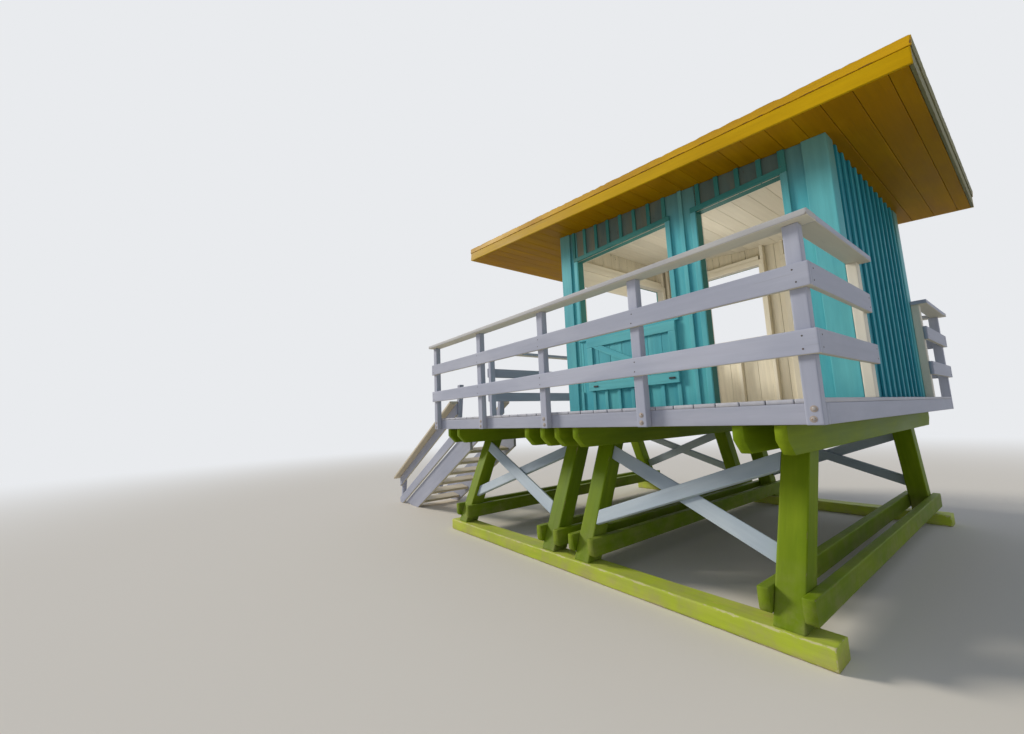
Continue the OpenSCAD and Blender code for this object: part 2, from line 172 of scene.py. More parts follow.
def lamp(name, kind, energy, colour):
    """A lamp of that kind, linked into the scene."""
    data = bpy.data.lights.new(name, kind)
    data.energy, data.color = energy, colour
    return placed(name, data)


world = bpy.data.worlds.new("studio")
bpy.context.scene.world = world
tree = bare_tree(world)
path = add(tree, "ShaderNodeLightPath")
seen = path.outputs["Is Camera Ray"]
for ray in ("Is Glossy Ray", "Is Transmission Ray"):
    seen = add(tree, "ShaderNodeMath", [(0, seen), (1, path.outputs[ray])], operation="MAXIMUM").outputs[0]
fill = add(tree, "ShaderNodeBackground", [("Color", FILL_COLOUR), ("Strength", FILL_STRENGTH)])
shown = add(tree, "ShaderNodeBackground", [("Color", BACKDROP), ("Strength", 1.0)])
mixed = add(tree, "ShaderNodeMixShader", [(0, seen), (1, fill.outputs[0]), (2, shown.outputs[0])])
add(tree, "ShaderNodeOutputWorld", [(0, mixed.outputs[0])])

key = lamp("key", "SUN", KEY_ENERGY, KEY_COLOUR)
key.data.angle = KEY_SPREAD
key.rotation_euler = KEY_FROM.to_track_quat("Z", "Y").to_euler()
room = lamp("room", "POINT", ROOM_ENERGY, ROOM_COLOUR)
room.data.shadow_soft_size = ROOM_RADIUS
room.location = ROOM_AT
room.visible_camera = False
print("fill %.2f key %.2f room %.0f W" % (FILL_STRENGTH, KEY_ENERGY, ROOM_ENERGY))

# %% [markdown]
# The floor is one wide sheet that takes the tower's shadow. Far out it fades into the backdrop's colour,
# so that no horizon line cuts across the picture behind the railing.

# %% Floor
FLOOR_REACH, FADE_START, FADE_END = 60.0, 7.0, 22.0
floor_mesh = bpy.data.meshes.new("floor")
floor_corners = [(x * FLOOR_REACH, y * FLOOR_REACH, 0) for x, y in ((-1, -1), (1, -1), (1, 1), (-1, 1))]
floor_mesh.from_pydata(floor_corners, [], [(0, 1, 2, 3)])
floor_paint = bpy.data.materials.new("studio_floor")
tree = bare_tree(floor_paint)
spot = add(tree, "ShaderNodeTexCoord")
far = add(tree, "ShaderNodeVectorMath", [(0, spot.outputs["Object"])], operation="LENGTH")
fade = add(tree, "ShaderNodeMapRange", [("Value", far.outputs["Value"]), ("From Min", FADE_START),
                                        ("From Max", FADE_END)], interpolation_type="SMOOTHSTEP")
ground = add(tree, "ShaderNodeBsdfDiffuse", [("Color", rgb("E2DACB"))])
air = add(tree, "ShaderNodeEmission", [("Color", BACKDROP), ("Strength", 1.0)])
blend = add(tree, "ShaderNodeMixShader", [(0, fade.outputs[0]), (1, ground.outputs[0]), (2, air.outputs[0])])
add(tree, "ShaderNodeOutputMaterial", [(0, blend.outputs[0])])
floor_mesh.materials.append(floor_paint)
floor = placed("floor", floor_mesh)
print("floor fades from %.0f m to %.0f m" % (FADE_START, FADE_END))

# %% [markdown]
# One function makes every board. A board is a closed tube with flat ends: a section of rounded corners
# is carried along a straight path, and each ring of it may be slid along the path, which gives mitres,
# slopes and cut corners without a saw. Each point also remembers where it lies in its own board, in
# metres along, across and through, so the paint's grain runs along the timber whichever way it stands.

# %% A board's section
rng = np.random.default_rng(20)


def section(width, depth, arris):
    """Points round a rounded rectangle, anticlockwise from the middle of the +u side. Each comes with its
    wear, from 0 on an arris to 1 well inside a side. Every side has a point in its middle and one just inside
    each corner."""
    h, k = width / 2, depth / 2
    r = min(arris, 0.3 * h, 0.3 * k)
    q = min(r + 0.010, 0.7 * h, 0.7 * k)
    s = r * (1 - math.sqrt(0.5))
    corner = [(h, k - q, 1), (h, k - r, 0.35), (h - s, k - s, 0), (h - r, k, 0.35), (h - q, k, 1)]
    quarter = [(h, 0, 1)] + corner + [(0, k, 1)]
    left = [(-u, v, e) for u, v, e in reversed(quarter[:-1])]
    upper = quarter + left
    lower = [(u, -v, e) for u, v, e in reversed(upper[1:-1])]
    ring = np.array(upper + lower)
    return ring[:, :2], ring[:, 2]


print("points round a section:", len(section(0.15, 0.035, 0.004)[0]))

# %% [markdown]
# The path is straight, so all rings of a board are worked out at once, as one array of rows and columns.
# What makes it timber is small: the end rings shrink a little, the section swells and shrinks by a
# millimetre on its way, and a rough edge is nicked at random, more often a little than a lot.

# %% A board
END_RING, END_SHRINK, END_WORN, TIP_WORN = 0.003, 0.6, 0.8, 0.012
SWAY_PACE = np.array([0.9, 2.1, 4.7])
NICK_POWER, LOW_NICK, EDGE_ZONE = 0.35, 0.2, 0.2
GRAIN_ROOM = 40.0


def board(start, end, across, deep, cut0=None, cut1=None, arris=0.004, bow=0.0012, step=0.35, ragged=0.0):
    """A board from the middle of one end to the middle of the other. across and deep are whole vectors.

    Point (i, j) = start + s(i) * (end - start) + ring(j) in (across, deep) + slide along the path, where
    the slide goes from cut0(u, v) at the start to cut1(u, v) at the end. bow is how far, in metres, the
    section shrinks and swells along the way, always inwards, and ragged is how deep the edges are nicked.
    It gives the points, their place in the grain, their wear and whether the section is turned over."""
    start, end, across, deep = (np.asarray(v, float) for v in (start, end, across, deep))
    width, depth = np.linalg.norm(across), np.linalg.norm(deep)
    length = np.linalg.norm(end - start)
    ring, rim = section(width, depth, arris)
    tip = min(END_RING, 0.1 * length)
    inner = np.linspace(tip * 4, length - tip * 4, max(2, int(round(length / step)) + 1))
    along = np.concatenate([[0, tip], inner, [length - tip, length]])
    grow = np.ones((len(along), 1, 2))
    grow[0, 0] = grow[-1, 0] = 1 - END_SHRINK * tip / np.array([width / 2, depth / 2]).clip(END_RING)
    wave = rng.uniform(0, 2 * math.pi, (2, 3))
    sway = 0.5 - 0.5 * np.sin(along[:, None, None] * SWAY_PACE + wave).mean(axis=2)
    grow[:, 0] *= 1 - 2 * bow * sway / np.array([width, depth])
    local = ring[None] * grow
    if ragged:
        nick = ragged * rng.power(NICK_POWER, (len(along), 2))
        bitten = np.where(local[..., 0] < 0, nick[:, :1] * LOW_NICK, nick[:, 1:])
        local[..., 0] -= np.sign(local[..., 0]) * bitten * (np.abs(ring[None, :, 0]) > EDGE_ZONE * width)
    slide = np.zeros(local.shape[:2])
    share = (along / length)[:, None]
    if cut0 is not None:
        slide = slide + (1 - share) * cut0(local[..., 0], local[..., 1])
    if cut1 is not None:
        slide = slide + share * cut1(local[..., 0], local[..., 1])
    run = along[:, None] + slide
    axis = (end - start) / length
    points = (start + run[..., None] * axis + local[..., :1] * (across / width)
              + local[..., 1:] * (deep / depth))
    turned = bool(np.dot(np.cross(across, deep), axis) < 0)
    home = rng.uniform(0, GRAIN_ROOM, 3)
    grain = np.concatenate([run[..., None], local], axis=2) + home
    ends = (np.minimum(along, length - along)[:, None] - tip) / TIP_WORN
    rims = np.minimum(rim[None], ends.clip(0, 1))
    rims[[0, -1]] = END_WORN
    tone = np.full(rims.shape, rng.uniform(-1, 1))
    return points, grain, np.stack([rims, tone, tone * 0], axis=2), turned


print("half of the nicks are under %.0f %% of the deepest" % (100 * 0.5 ** (1 / NICK_POWER)))

# %% [markdown]
# Most boards are sawn square and lie along an axis, so they can be named by the box they fill. The tower
# is nearly the same on both sides, so the left side is the right side mirrored: every board keeps its
# shape and gets grain and tone of its own, as a second board from the same pile would have.

# %% Boards by their box, and boards mirrored


def box_board(x0, x1, y0, y1, z0, z1, run, **extra):
    """A square-cut board that fills a box and runs along the named axis, x, y or z."""
    low, high = np.array([x0, y0, z0], float), np.array([x1, y1, z1], float)
    i = "xyz".index(run)
    mid = (low + high) / 2
    start, end = mid.copy(), mid.copy()
    start[i], end[i] = low[i], high[i]
    rest = [j for j in range(3) if j != i]
    size = high - low
    wide = rest if size[rest[0]] >= size[rest[1]] else rest[::-1]
    across, deep = np.zeros(3), np.zeros(3)
    across[wide[0]], deep[wide[1]] = size[wide[0]], size[wide[1]]
    return board(start, end, across, deep, **extra)


def mirrored(boards):
    """The same boards on the other side of the middle, x' = -x, with a grain and a tone of their own."""
    flipped = []
    for points, grain, wear, turned in boards:
        fresh = wear.copy()
        fresh[..., 1] = rng.uniform(-1, 1)
        flipped.append((points * (-1, 1, 1), grain + rng.uniform(0, GRAIN_ROOM, 3), fresh, not turned))
    return flipped


def on_side(side, boards):
    """Boards drawn for the right side, as they are or mirrored for the left."""
    return boards if side == "right" else mirrored(boards)


print("each mirrored board starts up to %.0f m further along in the grain" % GRAIN_ROOM)

# %% [markdown]
# The sides of a board are four-sided faces between one ring and the next. An end could be closed by one
# many-sided face, but four-sided ones shade more evenly, so a cap is a strip that joins mirrored points.

# %% Faces


def faces_of(rows, ring, turned):
    """Quads round the tube, and strips of quads over its two ends that join mirrored points."""
    i = np.arange(rows - 1)[:, None] * ring
    j = np.arange(ring)[None]
    k = (j + 1) % ring
    sides = np.stack([i + j, i + k, i + ring + k, i + ring + j], axis=-1).reshape(-1, 4)
    half = ring // 2
    m = np.arange(1, half - 1)
    strip = np.stack([m, ring - m, ring - m - 1, m + 1], axis=-1)
    tips = np.array([(0, ring - 1, 1), (half, half - 1, half + 1)])
    last = (rows - 1) * ring
    quads = np.concatenate([sides, strip, (strip + last)[:, ::-1]])
    tris = np.concatenate([tips, (tips + last)[:, ::-1]])
    if turned:
        quads, tris = quads[:, ::-1], tris[:, ::-1]
    return quads, tris


print("faces of a board with ten rings:", sum(len(part) for part in faces_of(10, 24, False)))

# %% [markdown]
# A piece is many boards in one mesh under one paint, so a wall is one piece and not twenty. Every point
# carries two things into the paint: its place in its board's grain, and how near it lies to a worn edge.

# %% Pieces


def finished(name, mesh, material, nodes=()):
    """The mesh as a painted piece that rides on the tower, in place of the nodes that are named."""
    mesh.materials.append(material)
    piece = placed(name, mesh)
    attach(piece, "root")
    if nodes:
        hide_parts(*nodes)


def joinery(name, boards, material, nodes=()):
    """One piece of many boards, shifted from the deck's middle to the frame's, riding on the tower."""
    points, grains, wears = (np.concatenate([made[part].reshape(-1, 3) for made in boards])
                             for part in range(3))
    quads, tris, base = [], [], 0
    for shape, _, _, turned in boards:
        rows, ring = shape.shape[:2]
        q, t = faces_of(rows, ring, turned)
        quads.append(q + base)
        tris.append(t + base)
        base += rows * ring
    quads, tris = np.concatenate(quads), np.concatenate(tris)
    mesh = bpy.data.meshes.new(name)
    mesh.vertices.add(len(points))
    mesh.vertices.foreach_set("co", (points + (0, SHIFT, 0)).astype(np.float32).ravel())
    mesh.loops.add(quads.size + tris.size)
    mesh.loops.foreach_set("vertex_index", np.concatenate([quads.ravel(), tris.ravel()]).astype(np.int32))
    mesh.polygons.add(len(quads) + len(tris))
    first = np.concatenate([np.arange(len(quads)) * 4, quads.size + np.arange(len(tris)) * 3])
    mesh.polygons.foreach_set("loop_start", first.astype(np.int32))
    mesh.update(calc_edges=True)
    for label, values in (("grain", grains), ("wear", wears)):
        layer = mesh.attributes.new(label, "FLOAT_VECTOR", "POINT")
        layer.data.foreach_set("vector", values.astype(np.float32).ravel())
    finished(name, mesh, material, nodes)
    print("%-18s boards %3d faces %6d" % (name, len(boards), len(mesh.polygons)))


print("pieces ride on the tower, shifted by %.3f m along y" % SHIFT)

# %% [markdown]
# Paint on sawn timber is never one colour. It is rolled on over the grain, so the ridges catch it and
# the hollows stay a shade deeper; it fades in blotches; it goes first along the arrises and the ends,
# where it shows the coat or the wood beneath; and low down it holds dust. Each of those is one noise
# with its own scale, read in the board's own metres, so a post and a floor board age alike.

# %% Noise, ranges, arithmetic and mixing


def stretched(tree, vector, scale, detail=4.0, rough=0.55):
    """Noise over a vector in metres that is first multiplied by scale, so it can be long in one direction."""
    moved = add(tree, "ShaderNodeMapping", [("Vector", vector), ("Scale", scale)])
    made = add(tree, "ShaderNodeTexNoise", [("Vector", moved.outputs[0]), ("Scale", 1.0), ("Detail", detail),
                                            ("Roughness", rough)])
    return made.outputs["Fac"]


def ranged(tree, value, low, high, to_low=0.0, to_high=1.0, smooth=False):
    """value moved from low..high to to_low..to_high, and held inside that."""
    made = add(tree, "ShaderNodeMapRange", [("Value", value), ("From Min", low), ("From Max", high),
                                            ("To Min", to_low), ("To Max", to_high)],
               interpolation_type="SMOOTHSTEP" if smooth else "LINEAR")
    return made.outputs[0]


def maths(tree, kind, value, *others):
    """One kind of arithmetic, done with each of the others in turn."""
    for other in others:
        value = add(tree, "ShaderNodeMath", [(0, value), (1, other)], operation=kind).outputs[0]
    return value


def mixing(tree, share, one, two, kind="MIX"):
    """Two colours mixed by share, or one multiplied by the other."""
    made = add(tree, "ShaderNodeMix", [(0, share), (6, one), (7, two)], data_type="RGBA", blend_type=kind)
    return made.outputs[2]


print("node helpers:", [helper.__name__ for helper in (stretched, ranged, maths, mixing)])

# %% [markdown]
# Some paints change by where they lie. The wall boards are cream inside the cabin, and close under the
# roof the wall turns grey-green, which is painted shade and painted yellow reflection from the roof.
# Undersides in the white paints take a warm cream, which is painted light bounced up from the ground, and
# the base holds dust near the ground. All of this is read from a face's place and direction, so nothing has
# to be drawn on by hand.

# %% Where a face lies
SKIN_MARGIN = 0.008
# How far under the roof the painted shade reaches, and how strong it gets.
SHADE_BELOW_ROOF, SHADE_SHARE = (0.60, 0.05), 0.8
DUST_HEIGHT = (0.02, 0.55)


def in_cabin(tree, place):
    """1 between the walls' outer faces, less a small margin, and 0 outside them."""
    return maths(tree, "MULTIPLY",
                 maths(tree, "LESS_THAN", maths(tree, "ABSOLUTE", place["X"], 0.0), WALL_X - SKIN_MARGIN),
                 maths(tree, "GREATER_THAN", place["Y"], WALL_Y0 + SHIFT + SKIN_MARGIN),
                 maths(tree, "LESS_THAN", place["Y"], WALL_Y1 + SHIFT - SKIN_MARGIN))


def shade_near_roof(tree, place):
    """Painted shade: rises to SHADE_SHARE close under the roof. z + y * the roof's slope is the same all
    along the roof.
    """
    level = maths(tree, "ADD", place["Z"], maths(tree, "MULTIPLY", place["Y"], ROOF_TAN))
    roof_level = under_roof(0) + SHIFT * ROOF_TAN
    start, full = (roof_level - below for below in SHADE_BELOW_ROOF)
    return ranged(tree, level, start, full, 0, SHADE_SHARE, smooth=True)


def facing_down(tree):
    """1 on faces that look down, 0 on upright ones: where the painted bounce light goes."""
    normal = add(tree, "ShaderNodeNewGeometry").outputs["True Normal"]
    return ranged(tree, add(tree, "ShaderNodeSeparateXYZ", [(0, normal)]).outputs["Z"], -0.5, -0.7, 0, 1)


def dusty(tree, where, place, dust):
    """Patches of dust near the ground, up to dust where they are thickest."""
    low = ranged(tree, place["Z"], *DUST_HEIGHT, 1.0, 0.0)
    patch = ranged(tree, stretched(tree, where, (5, 5, 5), 6, 0.65), 0.35, 0.75, 0.0, 1.0, True)
    return maths(tree, "MULTIPLY", low, patch, dust)


print("grey from %.2f m under the roof, dust up to %.2f m" % (SHADE_BELOW_ROOF[0], DUST_HEIGHT[1]))

# %% [markdown]
# The paint itself goes from the sound coat outwards: the blotches it fades in, the brush marks and the
# wood's fibre under them, stains, fine checks along the grain, and last the bare places, which are likelier
# the nearer they lie to an arris or an end. The same streaks and bare places drive roughness and relief, so
# a scratch is dull and sunk where it is bare. Photographs of wood could do this too, but noise in the
# board's own metres has no seams, and no two boards come out alike.

# %% The paint
STREAK, FIBRE, BLOTCH, FLAKE = (1.4, 26, 26), (9, 240, 240), (0.9, 3.2, 3.2), (9, 30, 30)
STAIN, CHECK = (2.6, 6, 6), (2.2, 120, 120)
CRACK_DIRT, DUST = rgb("3A3026"), rgb("A8957A")
GLOSS, RELIEF = 0.52, 0.0022


def painted(name, coat, faded, beneath, wear=0.5, dust=0.0, ridge=0.7, even=1.0, shine=0.18,
            inside=None, spots=None, under=None, eave_shade=None):
    """Painted timber, with its colours as RRGGBB. coat is the sound paint, faded what it turns to in
    blotches, and beneath what shows where it has gone. wear is how much has gone, dust how much lies on it
    near the ground, ridge how deep the grain is, even how strongly the brush marks show, and shine how much
    it glances. inside is a second coat for the cabin's inner faces, spots a stain's colour, under a warm
    cream on faces that look down, which is painted light bounced up from the ground, and eaves the grey-green
    it turns to close under the roof, which is painted shade and painted yellow reflection from the roof."""
    material = bpy.data.materials.new(name)
    tree = bare_tree(material)
    grain = add(tree, "ShaderNodeAttribute", attribute_name="grain").outputs["Vector"]
    worn = add(tree, "ShaderNodeSeparateXYZ",
               [(0, add(tree, "ShaderNodeAttribute", attribute_name="wear").outputs["Vector"])]).outputs
    where = add(tree, "ShaderNodeTexCoord").outputs["Object"]
    place = add(tree, "ShaderNodeSeparateXYZ", [(0, where)]).outputs
    streak = stretched(tree, grain, STREAK, 5)
    fibre = stretched(tree, grain, FIBRE, 3)
    blotch = stretched(tree, grain, BLOTCH, 4)
    flake = stretched(tree, grain, FLAKE, 6, 0.65)

    colour = mixing(tree, ranged(tree, blotch, 0.38, 0.68, smooth=True), rgb(coat), rgb(faded))
    # Painted shade and painted yellow reflection: close under the roof the colour turns grey-green.
    if eave_shade is not None:
        colour = mixing(tree, shade_near_roof(tree, place), colour, rgb(eave_shade))
    if inside is not None:
        colour = mixing(tree, in_cabin(tree, place), colour, rgb(inside))
    # Painted bounce light: faces that look down take a warm cream, as if lit from the ground.
    if under is not None:
        colour = mixing(tree, facing_down(tree), colour, rgb(under))
    shade = maths(tree, "MULTIPLY", ranged(tree, streak, 0.3, 0.7, 1 - 0.10 * even, 1 + 0.04 * even),
                  ranged(tree, fibre, 0.3, 0.7, 1 - 0.035 * even, 1 + 0.02 * even),
                  ranged(tree, worn["Y"], -1, 1, 0.93, 1.05))
    grey = add(tree, "ShaderNodeCombineColor", [(0, shade), (1, shade), (2, shade)]).outputs[0]
    colour = mixing(tree, 1.0, colour, grey, "MULTIPLY")
    if spots is not None:
        stain = ranged(tree, stretched(tree, grain, STAIN, 6, 0.7), 0.60, 0.72, 0, 0.75, True)
        colour = mixing(tree, stain, colour, rgb(spots))

    edge = maths(tree, "SUBTRACT", 1.0, worn["X"])
    bare = maths(tree, "ADD", maths(tree, "MULTIPLY", edge, 0.20 * wear + 0.04), flake)
    bare = ranged(tree, bare, 0.80 - 0.13 * wear, 0.86 - 0.13 * wear, smooth=True)
    check = ranged(tree, stretched(tree, grain, CHECK, 2), 0.70, 0.76, 0, 0.5 * even)
    colour = mixing(tree, check, colour, mixing(tree, 0.5, rgb(beneath), CRACK_DIRT))
    colour = mixing(tree, bare, colour, rgb(beneath))
    if dust > 0:
        colour = mixing(tree, dusty(tree, where, place, dust), colour, DUST)

    rough = maths(tree, "ADD", ranged(tree, blotch, 0.3, 0.7, GLOSS - 0.06, GLOSS + 0.10),
                  maths(tree, "MULTIPLY", bare, 0.25))
    height = maths(tree, "ADD", maths(tree, "MULTIPLY", streak, 0.8 * ridge),
                   maths(tree, "MULTIPLY", fibre, 0.35 * ridge))
    height = maths(tree, "SUBTRACT", height, maths(tree, "MULTIPLY", bare, 0.45),
                   maths(tree, "MULTIPLY", check, 0.8))
    bump = add(tree, "ShaderNodeBump", [("Strength", 0.6), ("Distance", RELIEF), ("Height", height)])
    shader = add(tree, "ShaderNodeBsdfPrincipled",
                 [("Base Color", colour), ("Roughness", rough), ("Normal", bump.outputs[0]),
                  ("Specular IOR Level", shine)])
    add(tree, "ShaderNodeOutputMaterial", [(0, shader.outputs[0])])
    return material


print("streaks %.0f mm, fibres %.0f mm across" % (1000 / STREAK[1], 1000 / FIBRE[1]))

# %% [markdown]
# Each part of the tower gets its own tin of paint: lime on the base, and a lighter lime on the skids that is
# painted sunlight, with pale bare edges that are partly real wear and partly a painted highlight. The
# railing's white is darkened to a bluish grey as painted shade, with a warm cream on its undersides as
# painted light bounced from the ground, and the treads are cream-beige for the same bounce light. The walls
# are teal, darker on the rear, over the openings and under the roof as painted shade, and the roof is gold,
# darker on the soffit and olive grey at the rear edge as painted shade, with a strip that has nearly gone.

# %% The tower's paints
LIME = painted("lime_paint", "6E850C", "819419", "848246", wear=0.6, dust=0.5, ridge=0.9, shine=0.10)
# A much lighter lime than the base's, as painted sunlight; its pale bare colour gives the edges a painted
# highlight along with real wear.
SUNLIT_SKID_LIME = painted("skid_paint", "B6C53A", "CCD058", "CDC98A", wear=0.9, dust=0.5, ridge=1.0, spots="D0C45C")
# The railing's white is set to a bluish grey as painted shade, and the braces' and caps' whites are copies of
# it, tinted for how the light falls on them. The cream given as under is painted light bounced up from the
# ground.
WHITE = painted("rail_paint", "A9ABB7", "B7B8C2", "9C958C", wear=0.30, ridge=0.5, even=0.5, under="CFC8B2")
BRACE_WHITE = painted("brace_paint", "A9B5BC", "BAC4C8", "94938A", wear=0.35, ridge=0.5, even=0.5)
CAP_WHITE = painted("cap_paint", "B4B1AE", "C3C0B9", "9C9282", wear=0.5, ridge=0.6, even=0.5, under="DBD4BE")
# A cream-beige for the treads and the stair's handrails, as painted light bounced up from the ground.
BOUNCE_LIT_TREAD = painted("tread_bounce_paint", "CDC0A4", "DACDB4", "A08E74", wear=0.5, ridge=0.7, even=0.7)
FLOOR_WHITE = painted("deck_paint", "B2B2B9", "BFBDBF", "A0958A", wear=0.45, ridge=0.7, even=0.8)
# The walls' and the trim's grey-green close under the roof is painted shade and painted yellow reflection.
TEAL = painted("cabin_paint", "50AEB6", "64BFBF", "86A39E", wear=0.3, eave_shade="5E7A6E", inside="DED6C0")
TRIM = painted("trim_paint", "58B2B8", "6CC2C2", "8AA8A2", wear=0.35, ridge=0.6, eave_shade="6C9484")
# A darker teal for the rear wall and its battens, as painted shade.
SHADED_REAR_BOARD = painted("rear_board_shade_paint", "26808F", "338D99", "5F8A8A", wear=0.3, shine=0.12, inside="DED6C0")
SHADED_REAR_BATTEN = painted("rear_batten_shade_paint", "3493A1", "45A3AC", "7A9C98", wear=0.35, ridge=0.6, shine=0.12)
# A darker green for the head trim, the battens over the openings and the front reveals, as painted shade.
SHADED_TRIM = painted("shaded_trim_paint", "37796F", "488A7E", "77806C", wear=0.55, ridge=0.7)
# A grey-green for the wall boards over the openings, as painted shade and painted yellow reflection.
SHADED_EAVE_BOARD = painted("eave_board_shade_paint", "5A6B63", "78765F", "514D3C", wear=0.8, ridge=0.9, inside="D3CAB2")
CREAM = painted("inner_paint", "DFD7C2", "E7E0CC", "B9A98A", wear=0.25, ridge=0.5, even=0.5)
YELLOW = painted("roof_paint", "C09500", "CCA206", "8A6428", wear=0.45, ridge=0.7, shine=0.08)
# An olive grey for the roof's rear edge, as painted shade and painted sky reflection.
SHADED_YELLOW = painted("rear_edge_shade_paint", "73704A", "86825C", "5C5238", wear=0.9, ridge=0.9, shine=0.05)
# A darker gold than the roof's, as painted shade under the roof.
SOFFIT = painted("soffit_paint", "A57400", "B48302", "6E5020", wear=0.35, ridge=0.7, shine=0.04)
STRIP = painted("strip_paint", "CF9F10", "BC8C1C", "7E5C3A", wear=1.0, ridge=1.0, spots="96662C", shine=0.12)
print("paints:", len([made for made in bpy.data.materials if made.name.endswith("_paint")]))

# %% [markdown]
# The metal is small and dull: zinc with spots of rust. The ring of chipped timber round a bolt comes from
# the same rule with two greys of bare wood, since at that size only its colour is seen.

# %% Screws, bolts and latches


def steel(name, colour, rust, share):
    """Zinc gone dull, with rust in spots. share moves the noise's threshold, so more of it is rust."""
    material = bpy.data.materials.new(name)
    tree = bare_tree(material)
    where = add(tree, "ShaderNodeTexCoord").outputs["Object"]
    spot = ranged(tree, stretched(tree, where, (90, 90, 90), 5, 0.7), 0.62 - share, 0.70 - share, smooth=True)
    dull = mixing(tree, spot, rgb(colour), rgb(rust))
    shader = add(tree, "ShaderNodeBsdfPrincipled",
                 [("Base Color", dull), ("Metallic", 0.35), ("Roughness", 0.6)])
    add(tree, "ShaderNodeOutputMaterial", [(0, shader.outputs[0])])
    return material


SCREW_STEEL = steel("screw_steel", "55504B", "5F4634", 0.1)
BOLT_STEEL = steel("bolt_steel", "A8A39E", "7B563B", 0.08)
CHIPPED = steel("chipped_timber", "8E8378", "A2958A", 0.5)
LATCH_IRON = steel("latch_iron", "34383A", "5A3C28", 0.05)
print("metals:", [metal.name for metal in (SCREW_STEEL, BOLT_STEEL, CHIPPED, LATCH_IRON)])

# %% [markdown]
# The base: two skids lie on the ground, and four trestles stand across them. Each leg leans in as it
# rises, so its section is kept level and its path is slanted; that cuts its head and foot level too.

# %% Skids and legs
SKID_Z, LEG_W, LEG_T, LEG_TOP, LEG_LEAN = 0.14, 0.20, 0.19, 1.755, 0.433
TRESTLES = [-2.05, -0.245, 0.245, 2.05]


def leg_face(z):
    """How far a leg's outer face stands from the middle at a height."""
    return LEG_TOP + (FRAME_Z - z) * LEG_LEAN


skid_lo, skid_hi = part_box("skid_right")
skid = [box_board(skid_lo[0], skid_hi[0], skid_lo[1] - SHIFT, skid_hi[1] - SHIFT, 0, SKID_Z, "y",
                  arris=0.012, bow=0.004, step=0.15)]
# The skids' lighter lime is painted sunlight.
joinery("skids", skid + mirrored(skid), SUNLIT_SKID_LIME, ("skid_right", "skid_left"))

for number, y in enumerate(TRESTLES, 1):
    leg = [board((leg_face(SKID_Z) - LEG_W / 2, y, SKID_Z), (LEG_TOP - LEG_W / 2, y, FRAME_Z),
                 (LEG_W, 0, 0), (0, LEG_T, 0), arris=0.009, bow=0.002, step=0.2)]
    joinery("legs_%d_timber" % number, leg + mirrored(leg), LIME, ("legs_%d" % number,))

# %% [markdown]
# Pairs of beams clasp the legs, high up under the deck and low down over the skids. The cap beams'
# lower corners are sawn off. Sliding the lower half of the end ring inwards makes that cut.

# %% Cap beams and tie beams
BEAM_T, CAP_BEAM_H, CAP_BEAM_X = 0.075, 0.20, 2.43
TIE_Z0, TIE_Z1 = 0.205, 0.372
TIE_CORNER, TIE_PAST_LEG = 0.025, 0.062
TIE_X = leg_face((TIE_Z0 + TIE_Z1) / 2) + TIE_PAST_LEG


def cross_beam(y0, z0, z1, reach, corner):
    """A beam along x whose lower end corners are cut away: slide = corner - height above the beam's foot."""
    half, y = (z1 - z0) / 2, y0 + BEAM_T / 2

    def sawn(u, v):
        """How far the corner is cut back on the line that lies u above the beam's middle."""
        return np.maximum(0, corner - half - u)

    return board((-reach, y, z0 + half), (reach, y, z0 + half), (0, 0, z1 - z0), (0, BEAM_T, 0),
                 arris=0.007, bow=0.002, cut0=sawn, cut1=lambda u, v: -sawn(u, v))


for number, y in enumerate(TRESTLES, 1):
    pair = [y - LEG_T / 2 - BEAM_T, y + LEG_T / 2]
    joinery("cap_beams_%d_timber" % number,
            [cross_beam(y0, FRAME_Z - CAP_BEAM_H, FRAME_Z, CAP_BEAM_X, CAP_BEAM_H / 2) for y0 in pair],
            LIME, ("cap_beams_%d" % number,))
    joinery("tie_beams_%d_timber" % number,
            [cross_beam(y0, TIE_Z0, TIE_Z1, TIE_X, TIE_CORNER) for y0 in pair], LIME,
            ("tie_beams_%d" % number,))

# %% [markdown]
# White braces cross between the legs in the legs' own tilted plane. One of each pair lies over the
# other, so the lower one is a board's thickness further in. Their ends follow the legs' sides.

# %% Braces
BRACE_W, BRACE_T = 0.132, 0.040
BRACE_OVER_TIE, BRACE_UNDER_CAP = 0.173, 0.085
BRACE_Z0, BRACE_Z1 = TIE_Z1 + BRACE_OVER_TIE, FRAME_Z - CAP_BEAM_H - BRACE_UNDER_CAP
TILT = math.atan(LEG_LEAN)
BAY = TRESTLES[3] - TRESTLES[2] - LEG_T


def brace(y0, rising, layer):
    """A board in the tilted plane, from one depth below the deck frame to another: height / cos(tilt)."""
    low, high = (FRAME_Z - BRACE_Z0) / math.cos(TILT), (FRAME_Z - BRACE_Z1) / math.cos(TILT)
    upright_w = BRACE_W / math.cos(math.atan((low - high) / BAY))
    slope = np.array([-math.sin(TILT), 0, math.cos(TILT)])
    out = np.array([math.cos(TILT), 0, math.sin(TILT)])
    foot = np.array([LEG_TOP - layer * BRACE_T / math.cos(TILT), 0, FRAME_Z]) - out * BRACE_T / 2
    first, last = (low, high) if rising else (high, low)
    return board(foot + (0, y0, 0) - slope * first, foot + (0, y0 + BAY, 0) - slope * last,
                 slope * upright_w, out * BRACE_T, arris=0.005)


for name, layer in (("braces_outer", 0), ("braces_inner", 1)):
    pair = [brace(TRESTLES[0] + LEG_T / 2, layer == 1, layer),
            brace(TRESTLES[2] + LEG_T / 2, layer == 0, layer)]
    joinery(name + "_boards", pair + mirrored(pair), BRACE_WHITE, (name,))

# %% [markdown]
# The deck is a frame of rim boards with joists between them, evenly parted. Only the rim shows from
# outside, but from low down the joists close the view up between the legs.

